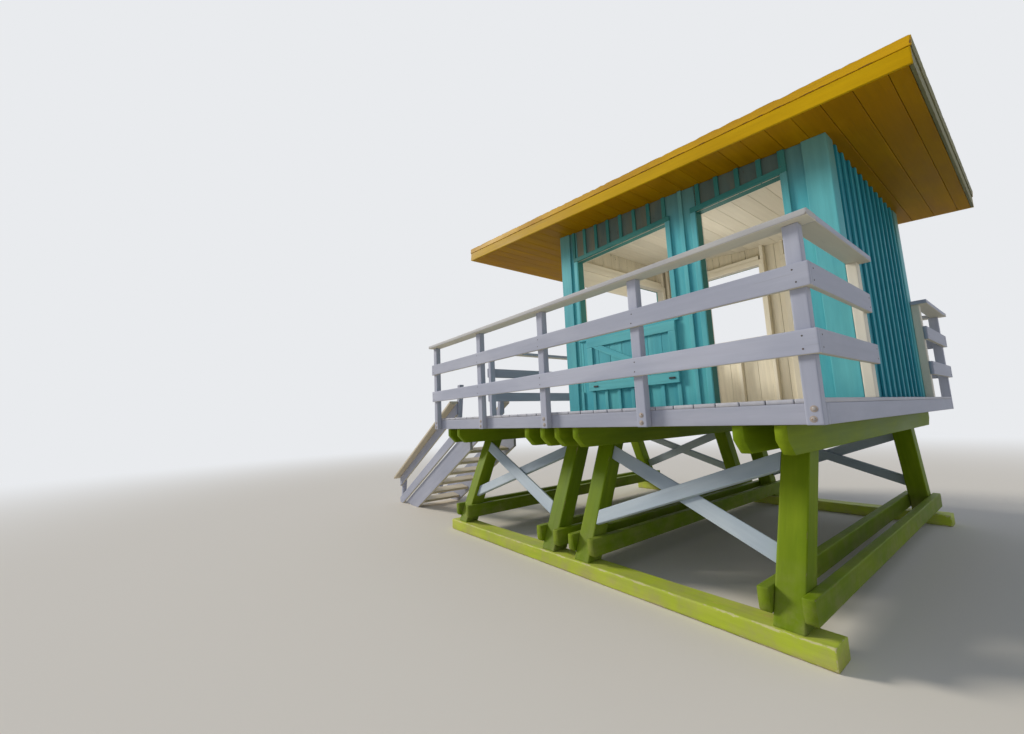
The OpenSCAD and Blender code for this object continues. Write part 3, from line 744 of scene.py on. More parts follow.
# %% Deck frame
RIM_T, RIM_H, JOISTS = 0.045, 0.13, 7
frame_top = FRAME_Z + RIM_H
rims = [box_board(RIM_X - RIM_T, RIM_X, -RIM_Y, RIM_Y, FRAME_Z, frame_top, "y")]
rims += mirrored(rims)
rims += [box_board(-RIM_X + RIM_T, RIM_X - RIM_T, y, y + RIM_T, FRAME_Z, frame_top, "x")
         for y in (-RIM_Y, RIM_Y - RIM_T)]
clear = (2 * RIM_X - (JOISTS + 2) * RIM_T) / (JOISTS + 1)
rims += [box_board(x, x + RIM_T, -RIM_Y + RIM_T, RIM_Y - RIM_T, FRAME_Z, frame_top, "y")
         for x in -RIM_X + (np.arange(JOISTS) + 1) * (clear + RIM_T)]
joinery("deck_frame_boards", rims, WHITE, ("deck_frame",))

# %% [markdown]
# The deck boards' ends show over the rim as a row of pale blocks with dark joints between them, so they are
# laid one by one with a gap, and each is a hair off in length and height, as boards laid by hand are.

# %% Deck boards
DECK_BOARDS, DECK_GAP, END_PLAY, TOP_PLAY = 30, 0.007, 0.004, 0.001
pitch = 2 * RIM_Y / DECK_BOARDS
floor_boards = []
for i in range(DECK_BOARDS):
    y = -RIM_Y + i * pitch
    left, back = rng.uniform(0, END_PLAY, 2)
    floor_boards.append(box_board(-RIM_X + left, RIM_X - back, y + (DECK_GAP / 2 if i else 0),
                                  y + pitch - (DECK_GAP / 2 if i < DECK_BOARDS - 1 else 0),
                                  DECK_Z - BOARD_T, DECK_Z - rng.uniform(0, TOP_PLAY), "x",
                                  bow=0.0006, step=0.5))
joinery("deck_planks", floor_boards, FLOOR_WHITE, ("deck_boards",))

# %% [markdown]
# The railing: posts outside the rim, two planks outside the posts, and a cap board laid flat on top
# that hands have worn. The short runs at the rear close the walkway beside the cabin.

# %% Side and rear railings
POST_W, END_POST_T, CAP_SHORT, CAP_LAP = 0.09, 0.07, RIM_Y + 0.03, 0.02
SIDE_POSTS = [-RIM_Y + POST_W / 2, -1.177, 0.037, 1.224, RIM_Y - POST_W / 2]
REAR_END, WALL_OUT = WALL_X + TRIM_T - POST_W, WALL_Y1 + TRIM_T
CAP_Z = RAIL_Z + CAP_T

for side in ("right", "left"):
    posts = [box_board(RIM_X, POST_X, y - POST_W / 2, y + POST_W / 2, FRAME_Z, RAIL_Z, "z")
             for y in SIDE_POSTS]
    joinery("posts_" + side, on_side(side, posts), WHITE, ("rail_posts_" + side,))
    planks = [box_board(POST_X, PLANK_X, -RIM_Y, PLANK_Y, z0, z1, "y") for z0, z1 in PLANKS]
    joinery("planks_" + side, on_side(side, planks), WHITE, ("rail_planks_" + side,))
    cap_start = -CAP_SHORT if side == "right" else -CAP_Y
    cap = [box_board(CAP_X - CAP_W, CAP_X, cap_start, CAP_Y, RAIL_Z, CAP_Z, "y",
                     arris=0.007, bow=0.002, step=0.2)]
    joinery("cap_" + side, on_side(side, cap), CAP_WHITE, ("rail_cap_" + side,))
    # The rear post beside the cabin is cream, as painted light bounced onto it from the deck and the railing.
    rear_post = [box_board(REAR_END, REAR_END + POST_W, WALL_OUT, RIM_Y, DECK_Z, RAIL_Z, "z")]
    joinery("rear_post_" + side, on_side(side, rear_post), CREAM, ("rail_rear_" + side,))
    rear = [box_board(REAR_END, POST_X, RIM_Y, PLANK_Y, z0, z1, "x") for z0, z1 in PLANKS]
    rear += [box_board(REAR_END - CAP_LAP, CAP_X - CAP_W, max(CAP_Y - CAP_W, WALL_OUT), CAP_Y, RAIL_Z, CAP_Z,
                       "x", arris=0.007)]
    joinery("rear_rail_" + side, on_side(side, rear), WHITE, ("rail_rear_" + side,))

# %% [markdown]
# The front railing runs from the left corner and stops at the stair. Its posts stand on the deck.

# %% Front railing
FRONT_END = 1.52
middle = (FRONT_END - RIM_X) / 2
front = [box_board(x, x + POST_W, -RIM_Y, -RIM_Y + END_POST_T, DECK_Z, RAIL_Z, "z")
         for x in (-RIM_X, middle - POST_W / 2, FRONT_END - POST_W)]
front += [box_board(-POST_X, FRONT_END, -PLANK_Y, -RIM_Y, z0, z1, "x") for z0, z1 in PLANKS]
front += [box_board(-CAP_X + CAP_W, FRONT_END, -CAP_Y, -CAP_Y + CAP_W, RAIL_Z, CAP_Z, "x", arris=0.007)]
joinery("front_rail", front, WHITE, ("rail_front",))

# %% [markdown]
# The stair has sunk at its foot: it hangs lower than the deck and lies flatter than it was built for, so
# its treads and posts lean back. A board on the slope has its section upright and its path slanted, which
# gives it plumb ends. A leaning post is the same the other way: a level section on a slanted path.

# %% The stair's lines
STAIR_SLOPE, STAIR_LEAN = math.radians(30), math.radians(8)
STAIR_TAN, LEAN_TAN = math.tan(STAIR_SLOPE), math.tan(STAIR_LEAN)
STAIR_X0, STAIR_X1, STRINGER_T, NEWEL_W, RAIL_T, HANDRAIL_W = 1.17, 2.06, 0.045, 0.075, 0.035, 0.15
STRINGER_H, TOE_H, FOOT_PAST_TOE, NEWEL_BEFORE_RAIL = 0.30, 0.06, 0.30, 0.15
STRINGER_UP = STRINGER_H / math.cos(STAIR_SLOPE)
STRINGER_TOP, STRINGER_HEAD, HANDRAIL_OVER = 1.325, -2.22, 0.575
TOE_Y = -RIM_Y - (STRINGER_TOP - TOE_H) / STAIR_TAN
FOOT_Y, NEWEL_Y = TOE_Y - FOOT_PAST_TOE, -PLANK_Y - NEWEL_BEFORE_RAIL


def stringer_z(y):
    """Height of the stringers' upper edge."""
    return STRINGER_TOP + (y + RIM_Y) * STAIR_TAN


def handrail_z(y):
    """Height of the underside of the handrail board."""
    return stringer_z(y) + HANDRAIL_OVER


def slanted(x0, x1, y0, y1, top, tall, **extra):
    """A board on the stair's slope from y0 forward to y1, with its upper edge at top(y)."""
    x = (x0 + x1) / 2
    head, foot = (x, y0, top(y0) - tall / 2), (x, y1, top(y1) - tall / 2)
    return board(head, foot, (0, 0, tall), (x1 - x0, 0, 0), **extra)


def stopped_at(level, middle):
    """A cut by a level plane: slide = (height of each line - level) / sin(slope)."""
    return lambda u, v: (middle + u - level) / math.sin(STAIR_SLOPE)


print("stair foot %.3f toe %.3f" % (FOOT_Y, TOE_Y))

# %% [markdown]
# Two stringers carry six treads. A stringer's head and toe are both cut by a level plane, which is a slide
# of each of its lines along the slope. A tread is a plain board across the stair, tipped back with the
# rest. The gaps between treads are open, so light falls through them.

# %% Stringers and treads
head_cut = stopped_at(FRAME_Z, stringer_z(STRINGER_HEAD) - STRINGER_UP / 2)
toe_cut = stopped_at(0, stringer_z(TOE_Y) - STRINGER_UP / 2)
joinery("stringers", [slanted(x, x + STRINGER_T, STRINGER_HEAD, TOE_Y, stringer_z, STRINGER_UP,
                              cut0=lambda u, v: np.maximum(0, head_cut(u, v)),
                              cut1=lambda u, v: np.minimum(0, toe_cut(u, v)))
                      for x in (STAIR_X0, STAIR_X1 - STRINGER_T)], WHITE, ("stair_stringers",))

TREADS, TREAD_PITCH, TREAD_D, TREAD_T = 6, 0.388, 0.25, 0.04
TREAD_Z, TREAD_BACK = 1.010, 0.061
tread_out = np.array([0, -math.cos(STAIR_LEAN), math.sin(STAIR_LEAN)]) * TREAD_D
tread_up = np.array([0, math.sin(STAIR_LEAN), math.cos(STAIR_LEAN)]) * TREAD_T
treads = []
for i in range(TREADS):
    down = i * TREAD_PITCH * math.cos(STAIR_SLOPE) - TREAD_BACK
    centre = np.array([0, -RIM_Y - down, TREAD_Z - down * STAIR_TAN]) + (tread_out + tread_up) / 2
    treads.append(board(centre + (STAIR_X0 + STRINGER_T, 0, 0), centre + (STAIR_X1 - STRINGER_T, 0, 0),
                        tread_out, tread_up, arris=0.006))
# The treads' cream-beige is painted bounce light.
joinery("treads", treads, BOUNCE_LIT_TREAD, ("stair_treads",))

# %% [markdown]
# Each side has a short post at the deck, a post at the foot, two planks between them and a wide handrail
# board laid on top. The planks stop at the ground in the way the stringers do.

# %% Posts, planks and handrails of the stair
NEWEL_H, PLANK_W, PLANK_DROP, HANDRAIL_T = 0.53, 0.15, 0.385, 0.038
newels = []
for x in (STAIR_X0, STAIR_X1 - NEWEL_W):
    for y_deck, z0, z1 in ((NEWEL_Y, stringer_z(NEWEL_Y), DECK_Z + NEWEL_H),
                           (FOOT_Y + DECK_Z * LEAN_TAN, 0, handrail_z(FOOT_Y + NEWEL_W))):
        low, high = [(x + NEWEL_W / 2, y_deck + (z - DECK_Z) * LEAN_TAN + NEWEL_W / 2, z) for z in (z0, z1)]
        newels.append(board(low, high, (0, NEWEL_W, 0), (NEWEL_W, 0, 0)))
joinery("newels", newels, WHITE, ("stair_newels",))

plank_up, hand_up = PLANK_W / math.cos(STAIR_SLOPE), HANDRAIL_T / math.cos(STAIR_SLOPE)
rail_y0, rail_y1 = NEWEL_Y + NEWEL_W, FOOT_Y + NEWEL_W / 2
rails = []
for x in (STAIR_X1, STAIR_X0 - RAIL_T):
    for drop in (0, PLANK_DROP):
        foot_cut = stopped_at(0, handrail_z(rail_y1) - drop - plank_up / 2)
        rails.append(slanted(x, x + RAIL_T, rail_y0, rail_y1, lambda y: handrail_z(y) - drop, plank_up,
                             cut1=lambda u, v: np.minimum(0, foot_cut(u, v))))
joinery("stair_planks", rails, WHITE, ("stair_rails",))
hands = [slanted(x, x + HANDRAIL_W, rail_y0, FOOT_Y, lambda y: handrail_z(y) + hand_up, hand_up)
         for x in (STAIR_X1, STAIR_X0 - HANDRAIL_W)]
# The handrails' cream-beige is painted bounce light.
joinery("stair_handrails", hands, BOUNCE_LIT_TREAD, ("stair_rails",))

# %% [markdown]
# The cabin's walls are boards nailed upright on studs, with a batten over each joint. Everything in a wall
# hangs on a few lines: the openings' edges and heads, the trim round them, and the roof, whose slope cuts
# the head of each board. One function makes them all, so no board can miss the roof.

# %% The walls' lines
SKIN, PITCH, BATTEN_W, BATTEN_T = 0.020, 0.20, 0.045, 0.019
WINDOW_Y0, WINDOW_Y1, SILL_Z = -0.505, 0.854, DECK_Z + 1.0
DOOR_Y0, DOOR_Y1 = 1.212, 2.012
HEAD_Z, DOOR_Z = under_roof(WINDOW_Y1) - 0.300, under_roof(DOOR_Y0) - 0.295
TRIM_W, CORNER_W, SHUTTER_H = 0.057, 0.16, 0.68
FRONT_WINDOW = WALL_X - WALL_T - 0.12
SHUTTER_Z1 = SILL_Z - TRIM_W
SHUTTER_Z0 = SHUTTER_Z1 - SHUTTER_H


def upright(x0, x1, y0, y1, z0, z1=None, **extra):
    """An upright board. With no z1 it runs up to the roof, whose slope cuts its head: slide = -(y from the
    board's middle) * the roof's slope."""
    mid_x, mid_y = (x0 + x1) / 2, (y0 + y1) / 2
    flat = (x1 - x0) > (y1 - y0)
    across, deep = ((x1 - x0, 0, 0), (0, y1 - y0, 0)) if flat else ((0, y1 - y0, 0), (x1 - x0, 0, 0))
    if z1 is not None:
        return board((mid_x, mid_y, z0), (mid_x, mid_y, z1), across, deep, **extra)
    cut = (lambda u, v: -ROOF_TAN * v) if flat else (lambda u, v: -ROOF_TAN * u)
    return board((mid_x, mid_y, z0), (mid_x, mid_y, under_roof(mid_y)), across, deep, cut1=cut, **extra)


print("window %.2f by %.2f m, door %.2f by %.2f m" % (WINDOW_Y1 - WINDOW_Y0, HEAD_Z - SILL_Z,
                                                      DOOR_Y1 - DOOR_Y0, DOOR_Z - DECK_Z))

# %% [markdown]
# The boards are teal outside and cream inside, so one coat of paint changes colour by where it lies. A wall
# is parted into stretches at the joints and at the openings' edges. A stretch that meets an opening gets
# one board under it and one over it; the ones over the heads are a grey-green, as painted shade and painted
# yellow reflection under the roof, so they are a piece apart.

# %% Wall boards
JOINT = 0.001
SIDE_BATTENS = np.arange(-0.75, 2.3, PITCH)
CROSS_BATTENS = np.arange(-5, 6) * PITCH
side_openings = [(WINDOW_Y0, WINDOW_Y1, SILL_Z, HEAD_Z), (DOOR_Y0, DOOR_Y1, DECK_Z, DOOR_Z)]
front_openings = [(-FRONT_WINDOW, FRONT_WINDOW, SILL_Z, HEAD_Z)]


def cells(low, high, joints, edges):
    """The stretches between low and high that are parted at the joints and at the openings' edges."""
    marks = sorted({low, high, *[j for j in joints if low < j < high], *edges})
    return list(zip(marks[:-1], marks[1:]))


def gap_at(middle, openings):
    """The foot and the head of the opening that a board at that place meets, or None."""
    return next(((z0, z1) for a, b, z0, z1 in openings if a < middle < b), None)


def skin_of(make, stretches, openings):
    """Boards over each stretch, and apart from them the short ones over the heads of the openings."""
    made, short = [], []
    for a, b in stretches:
        hole = gap_at((a + b) / 2, openings)
        if hole is None or hole[0] > DECK_Z:
            made.append(make(a + JOINT, b - JOINT, DECK_Z, hole and hole[0]))
        if hole is not None:
            short.append(make(a + JOINT, b - JOINT, hole[1], None))
    return made, short


side_cells = cells(WALL_Y0, WALL_Y1, SIDE_BATTENS, [WINDOW_Y0, WINDOW_Y1, DOOR_Y0, DOOR_Y1])
rear_cells = cells(-WALL_X + SKIN, WALL_X - SKIN, CROSS_BATTENS, [])
front_cells = cells(-WALL_X + SKIN, WALL_X - SKIN, CROSS_BATTENS, [-FRONT_WINDOW, FRONT_WINDOW])
for side in ("right", "left"):
    skin, short = skin_of(lambda a, b, z0, z1: upright(WALL_X - SKIN, WALL_X, a, b, z0, z1),
                          side_cells, side_openings)
    joinery("side_boards_" + side, on_side(side, skin), TEAL,
            ("wall_%s_window" % side, "wall_%s_rear" % side))
    joinery("eave_boards_" + side, on_side(side, short), SHADED_EAVE_BOARD, ("wall_%s_head" % side,))
skin, short = skin_of(lambda a, b, z0, z1: upright(a, b, WALL_Y1 - SKIN, WALL_Y1, z0, z1), rear_cells, [])
# The rear wall's darker teal is painted shade.
joinery("rear_boards", skin, SHADED_REAR_BOARD, ("wall_rear",))
skin, short = skin_of(lambda a, b, z0, z1: upright(a, b, WALL_Y0, WALL_Y0 + SKIN, z0, z1),
                      front_cells, front_openings)
joinery("front_boards", skin, TEAL, ("wall_front",))
joinery("eave_boards_front", short, SHADED_EAVE_BOARD)

# %% [markdown]
# The battens are made by the same rule as the boards, on the boards' joints, and they too stop at the
# openings. The ones over the heads are a darker green than the ones below, as painted shade under the roof,
# and the rear ones are a darker teal, as painted shade.

# %% Battens
PAST_WINDOW, SHUTTER_CLEAR = 0.02, 0.004


def side_batten(y, z0, z1=None):
    """A batten on the right wall, its middle at y."""
    return upright(WALL_X, WALL_X + BATTEN_T, y - BATTEN_W / 2, y + BATTEN_W / 2, z0, z1)


def cross_battens(y0, z0, z1=None):
    """The battens of the front or the rear wall, from y0 to a batten's thickness further back."""
    return [upright(x - BATTEN_W / 2, x + BATTEN_W / 2, y0, y0 + BATTEN_T, z0, z1) for x in CROSS_BATTENS]


low_battens, high_battens = [], []
for y in SIDE_BATTENS:
    if WINDOW_Y0 - TRIM_W < y < WINDOW_Y1 + PAST_WINDOW:
        low_battens.append(side_batten(y, DECK_Z, SHUTTER_Z0 - SHUTTER_CLEAR))
        high_battens.append(side_batten(y, HEAD_Z + TRIM_W))
    elif WINDOW_Y1 + TRIM_W < y < DOOR_Y0 - TRIM_W:
        low_battens.append(side_batten(y, DECK_Z))
    elif DOOR_Y0 < y < DOOR_Y1:
        high_battens.append(side_batten(y, DOOR_Z + TRIM_W))
high_battens.append(upright(WALL_X, WALL_X + TRIM_T, DOOR_Y1, DOOR_Y1 + TRIM_W, DOOR_Z + TRIM_W))
joinery("side_battens", low_battens + mirrored(low_battens), TRIM)
# The rear battens' darker teal is painted shade.
joinery("rear_battens", cross_battens(WALL_Y1, DECK_Z), SHADED_REAR_BATTEN)
front_battens = cross_battens(WALL_Y0 - BATTEN_T, DECK_Z, SHUTTER_Z0 - SHUTTER_CLEAR)
joinery("front_battens", front_battens, TRIM)
high_front = cross_battens(WALL_Y0 - BATTEN_T, HEAD_Z + TRIM_W)
# The battens over the openings are a darker green, as painted shade.
joinery("eave_battens", high_battens + mirrored(high_battens) + high_front, SHADED_TRIM)

# %% [markdown]
# Inside, the studs show: full ones beside the openings and at the corners, short ones under the windows,
# and plates and lintels that close the openings below and above. A picture of them on one flat wall would
# do from afar, but through the windows they are seen at a slant, so they are real.

# %% Studs and plates
IN_X, SKIN_X = WALL_X - WALL_T, WALL_X - SKIN
IN_Y0, IN_Y1 = WALL_Y0 + WALL_T, WALL_Y1 - WALL_T
LINING, STUD, STUD_BEFORE, STUD_AFTER = 0.020, 0.048, 0.07, 0.022
PLATE_Z, SHORT_STUD_Z = SILL_Z - 0.07, SILL_Z - 0.05
WINDOW_LINTEL_Z, DOOR_LINTEL_Z = HEAD_Z + 0.14, DOOR_Z + 0.12
full_studs = (IN_Y0 + 0.01, WINDOW_Y0 - STUD_BEFORE, WINDOW_Y1 + STUD_AFTER,
              DOOR_Y0 - STUD_BEFORE, DOOR_Y1 + STUD_AFTER, IN_Y1 - 0.06)
studs = [upright(IN_X, SKIN_X, y, y + STUD, DECK_Z) for y in full_studs]
studs += [upright(IN_X, SKIN_X, y, y + STUD, DECK_Z, SHORT_STUD_Z) for y in (-0.05, 0.40)]
studs += [box_board(IN_X, SKIN_X, y0, y1, z0, z1, "y")
          for y0, y1, z0, z1 in ((WINDOW_Y0, WINDOW_Y1, PLATE_Z, SILL_Z - LINING),
                                 (WINDOW_Y0, WINDOW_Y1, HEAD_Z + LINING, WINDOW_LINTEL_Z),
                                 (DOOR_Y0, DOOR_Y1, DOOR_Z + LINING, DOOR_LINTEL_Z))]
cross = [upright(x, x + STUD, IN_Y1, WALL_Y1 - SKIN, DECK_Z) for x in (-1.17, -0.62, -0.024, 0.57, 1.122)]
cross += [upright(x, x + STUD, WALL_Y0 + SKIN, IN_Y0, DECK_Z)
          for x in (-FRONT_WINDOW - STUD_BEFORE, FRONT_WINDOW + STUD_AFTER)]
cross += [upright(x, x + STUD, WALL_Y0 + SKIN, IN_Y0, DECK_Z, SHORT_STUD_Z) for x in (-0.35, 0.35)]
cross += [box_board(-FRONT_WINDOW, FRONT_WINDOW, WALL_Y0 + SKIN, IN_Y0, z0, z1, "x")
          for z0, z1 in ((PLATE_Z, SILL_Z - LINING), (HEAD_Z + LINING, WINDOW_LINTEL_Z))]
joinery("studs", studs + mirrored(studs) + cross, CREAM)

# %% [markdown]
# Each opening is lined with boards as deep as the wall. They could be one extruded frame, but separate
# boards keep their own grain and leave the hairline joints of real joinery.

# %% Linings
LINING_IN, LINING_OUT = 0.004, 0.002


def lined(x0, x1, y0, y1, z0, z1, along, sill):
    """Boards round an opening that runs along x or y: two jambs, a head and, for a window, a sill."""
    low, high = (y0, y1) if along == "y" else (x0, x1)

    def lining(a, b, foot, head, run):
        """One board, from a to b along the wall, from foot to head, as deep as the wall."""
        x, y = ((x0, x1), (a, b)) if along == "y" else ((a, b), (y0, y1))
        return box_board(*x, *y, foot, head, run)

    made = [lining(low - LINING, low, z0, z1, "z"), lining(high, high + LINING, z0, z1, "z"),
            lining(low - LINING, high + LINING, z1, z1 + LINING, along)]
    if sill:
        made.append(lining(low - LINING, high + LINING, z0 - LINING, z0, along))
    return made


side_lining = (IN_X - LINING_IN, WALL_X + LINING_OUT)
front_lining = (WALL_Y0 - LINING_OUT, IN_Y0 + LINING_IN)
linings = lined(*side_lining, WINDOW_Y0, WINDOW_Y1, SILL_Z, HEAD_Z, "y", True)
linings += lined(*side_lining, DOOR_Y0, DOOR_Y1, DECK_Z, DOOR_Z, "y", False)
# The front jambs and the heads are a darker green as painted shade; the rear jambs and the sill keep the
# trim's teal.
joinery("shaded_linings", [linings[n] for n in (0, 2, 4, 6)], SHADED_TRIM)
joinery("linings_right", [linings[n] for n in (1, 3, 5)], TRIM)
pale_linings = mirrored(linings)
pale_linings += lined(-FRONT_WINDOW, FRONT_WINDOW, *front_lining, SILL_Z, HEAD_Z, "x", True)
joinery("linings_left_front", pale_linings, CREAM)

# %% [markdown]
# Casing boards cover the gap between lining and studs, with an apron under each window and a prouder board
# as its sill. A board across the front window's head hangs lower, and shows through the right window.

# %% Casings inside
CASING_W, CASING_T, SILL_OUT, SILL_IN = 0.07, 0.018, 0.040, 0.020
APRON = (SILL_Z - 0.10, SILL_Z - 0.03)
SILL = (SILL_Z - 0.026, SILL_Z + 0.002)
HANGING_X0, HANGING_H = -0.40, 0.25
casings = []
for y0, y1, z0, z1 in ((WINDOW_Y0, WINDOW_Y1, SILL_Z, HEAD_Z), (DOOR_Y0, DOOR_Y1, DECK_Z, DOOR_Z)):
    casings += [box_board(IN_X - CASING_T, IN_X, a, a + CASING_W, z0, z1, "z") for a in (y0 - CASING_W, y1)]
    casings.append(box_board(IN_X - CASING_T, IN_X, y0 - CASING_W, y1 + CASING_W, z1, z1 + CASING_W, "y"))
casings += [box_board(x0, x1, WINDOW_Y0 - CASING_W, WINDOW_Y1 + CASING_W, *heights, "y")
            for x0, x1, heights in ((IN_X - CASING_T, IN_X, APRON), (IN_X - SILL_OUT, IN_X + SILL_IN, SILL))]
front_casing = [box_board(a, a + CASING_W, IN_Y0, IN_Y0 + CASING_T, SILL_Z, HEAD_Z, "z")
                for a in (-FRONT_WINDOW - CASING_W, FRONT_WINDOW)]
casing_x = FRONT_WINDOW + CASING_W
front_casing += [box_board(-casing_x, casing_x, IN_Y0, IN_Y0 + depth, z0, z1, "x")
                 for z0, z1, depth in ((HEAD_Z, HEAD_Z + CASING_W, CASING_T), (*APRON, CASING_T),
                                       (*SILL, SILL_OUT))]
front_casing.append(box_board(HANGING_X0, FRONT_WINDOW, IN_Y0 - 0.02, IN_Y0 - 0.002,
                              HEAD_Z - HANGING_H, HEAD_Z, "x"))
joinery("casings", casings + mirrored(casings) + front_casing, CREAM)

# %% [markdown]
# Flat trim boards frame the openings and the corners. They stand a little prouder than the battens,
# so each edge throws a thin line of shadow, which is most of what makes the wall read as carpentry.

# %% Trim and corner boards
OUT_X, FRONT_TRIM_X = WALL_X + TRIM_T, FRONT_WINDOW + TRIM_W
corners = [upright(WALL_X, OUT_X, WALL_Y1 - CORNER_W, WALL_Y1 + TRIM_T, DECK_Z),
           upright(WALL_X - CORNER_W, WALL_X, WALL_Y1, WALL_Y1 + TRIM_T, DECK_Z),
           upright(WALL_X, OUT_X, WALL_Y0 - TRIM_T, WALL_Y0 + CORNER_W, DECK_Z),
           upright(WALL_X - CORNER_W, WALL_X, WALL_Y0 - TRIM_T, WALL_Y0, DECK_Z)]
joinery("corners", corners + mirrored(corners), TRIM, ("corner_boards",))

frames = [box_board(WALL_X, OUT_X, y, y + TRIM_W, z0, z1, "z")
          for y, z0, z1 in ((WINDOW_Y0 - TRIM_W, SILL_Z, HEAD_Z), (WINDOW_Y1, SILL_Z, HEAD_Z),
                            (DOOR_Y0 - TRIM_W, DECK_Z, DOOR_Z), (DOOR_Y1, DECK_Z, DOOR_Z))]
frames.append(box_board(FRONT_WINDOW, FRONT_TRIM_X, WALL_Y0 - TRIM_T, WALL_Y0, SILL_Z, HEAD_Z, "z"))
joinery("upright_trim", frames + mirrored(frames), TRIM, ("trim_uprights",))


def side_trim(y0, y1, z):
    """A level trim board on the right wall, from z up, over or under an opening from y0 to y1."""
    return box_board(WALL_X, OUT_X, y0 - TRIM_W, y1 + TRIM_W, z, z + TRIM_W, "y")


def front_trim(z):
    """The same across the front window."""
    return box_board(-FRONT_TRIM_X, FRONT_TRIM_X, WALL_Y0 - TRIM_T, WALL_Y0, z, z + TRIM_W, "x")


sills = [side_trim(WINDOW_Y0, WINDOW_Y1, SILL_Z - TRIM_W)]
heads = [side_trim(WINDOW_Y0, WINDOW_Y1, HEAD_Z), side_trim(DOOR_Y0, DOOR_Y1, DOOR_Z)]
sills += mirrored(sills) + [front_trim(SILL_Z - TRIM_W)]
heads += mirrored(heads) + [front_trim(HEAD_Z)]
joinery("sill_trim", sills, TRIM, ("trim_rails",))
# The heads are a darker green, as painted shade under the roof.
joinery("head_trim", heads, SHADED_TRIM, ("trim_rails",))

# %% [markdown]
# Under each window hangs its shutter, folded down: upright boards held by two ledges and a diagonal.
# It is made once in its own plane, x along and z up, and then laid on each of the three walls.

# %% Shutters
SHUTTER_T, LEDGE, STILE, DIAGONAL = 0.022, 0.11, 0.09, 0.17
SHUTTER_BOARD, STILE_PLAY, SHUTTER_SHORT, SHUTTER_PAST = 0.18, 0.001, 0.075, 0.02


def shutter(wide, lay):
    """Boards, two ledges, two stiles and a diagonal. lay turns (along, out, up) into a place on the tower."""
    def way(*step):
        """A step (along, out, up) as a vector on the tower."""
        return np.array(lay(*step)) - np.array(lay(0, 0, 0))

    out, mid, front = way(0, SHUTTER_T, 0), SHUTTER_T / 2, 1.5 * SHUTTER_T
    high = SHUTTER_H - LEDGE
    marks = np.linspace(0, wide, int(round(wide / SHUTTER_BOARD)) + 1)
    made = [board(lay((a + b) / 2, mid, 0), lay((a + b) / 2, mid, SHUTTER_H),
                  way(b - a - 2 * JOINT, 0, 0), out) for a, b in zip(marks[:-1], marks[1:])]
    made += [board(lay(0, front, z), lay(wide, front, z), way(0, 0, LEDGE), out)
             for z in (LEDGE / 2, SHUTTER_H - LEDGE / 2)]
    made += [board(lay(a, front, LEDGE), lay(a, front, high), way(STILE - STILE_PLAY, 0, 0), out)
             for a in (STILE / 2, wide - STILE / 2)]
    reach = STILE + DIAGONAL / 2
    made.append(board(lay(reach, front, LEDGE), lay(wide - reach, front, high), way(DIAGONAL, 0, 0), out))
    return made


side_shutter = shutter(WINDOW_Y1 - WINDOW_Y0 - SHUTTER_SHORT,
                       lambda a, o, u: (WALL_X + o, WINDOW_Y1 + SHUTTER_PAST - a, SHUTTER_Z0 + u))
front_shutter = shutter(2 * FRONT_WINDOW, lambda a, o, u: (FRONT_WINDOW - a, WALL_Y0 - o, SHUTTER_Z0 + u))
joinery("shutter_boards", side_shutter + mirrored(side_shutter) + front_shutter, TRIM,
        ("shutters",))

# %% [markdown]
# A small iron latch sits near each end of the side shutters' lower ledge. It shows as a short dark bar and
# no more, so a small board with soft arrises, in iron instead of paint, is all it needs.

# %% Shutter latches
LATCH_L, LATCH_H, LATCH_T, LATCH_Z = 0.075, 0.022, 0.008, SHUTTER_Z0 + 0.045
LATCH_X = WALL_X + 2 * SHUTTER_T
latches = [box_board(LATCH_X, LATCH_X + LATCH_T, y, y + LATCH_L, LATCH_Z, LATCH_Z + LATCH_H, "y", arris=0.003)
           for y in (WINDOW_Y1 - 0.10, WINDOW_Y0 + 0.18)]
joinery("shutter_latches", latches + mirrored(latches), LATCH_IRON)

# %% [markdown]
# The roof is a shallow box on a slope: boards for a soffit, a fascia round it, a weathered strip on the
# fascia's upper edge, and sheets on top. It is made in its own frame, along the slope and square to it.

# %% The roof's own frame
ROOF_W, ROOF_T, ROOF_Y0, ROOF_Y1 = 3.47, 0.20, -2.57, 2.97
SLOPE = math.atan(ROOF_TAN)
ROOF_L = (ROOF_Y1 - ROOF_Y0) / math.cos(SLOPE)
ALONG = np.array([0, math.cos(SLOPE), -math.sin(SLOPE)])
SQUARE = np.array([0, math.sin(SLOPE), math.cos(SLOPE)])
ROOF_FOOT = np.array([0, ROOF_Y0, under_roof(ROOF_Y0)])


def roof_spot(x, a, h):
    """foot + (x, 0, 0) + a * ALONG + h * SQUARE: x across, a along the slope, h square to it."""
    return ROOF_FOOT + np.array([x, 0, 0]) + ALONG * a + SQUARE * h


def roof_board(x0, x1, a0, a1, h0, h1, run, **extra):
    """A board that fills a box in the roof's frame and runs along x or a."""
    x, a, h = (x0 + x1) / 2, (a0 + a1) / 2, (h0 + h1) / 2
    sizes = {"x": np.array([x1 - x0, 0, 0]), "a": ALONG * (a1 - a0), "h": SQUARE * (h1 - h0)}
    ends = {"x": (roof_spot(x0, a, h), roof_spot(x1, a, h)),
            "a": (roof_spot(x, a0, h), roof_spot(x, a1, h))}[run]
    rest = [sizes[k] for k in "xah" if k != run]
    rest.sort(key=np.linalg.norm, reverse=True)
    return board(ends[0], ends[1], rest[0], rest[1], **extra)


print("roof %.2f m along its slope, %.2f m across" % (ROOF_L, ROOF_W))

# %% [markdown]
# The fascia boards stand just inside the strip that lies over their upper edge. The rear one hangs plumb,
# the others stand square to the slope. The rear one is painted an olive grey, which is painted shade and
# painted sky reflection, so it is a piece of its own.

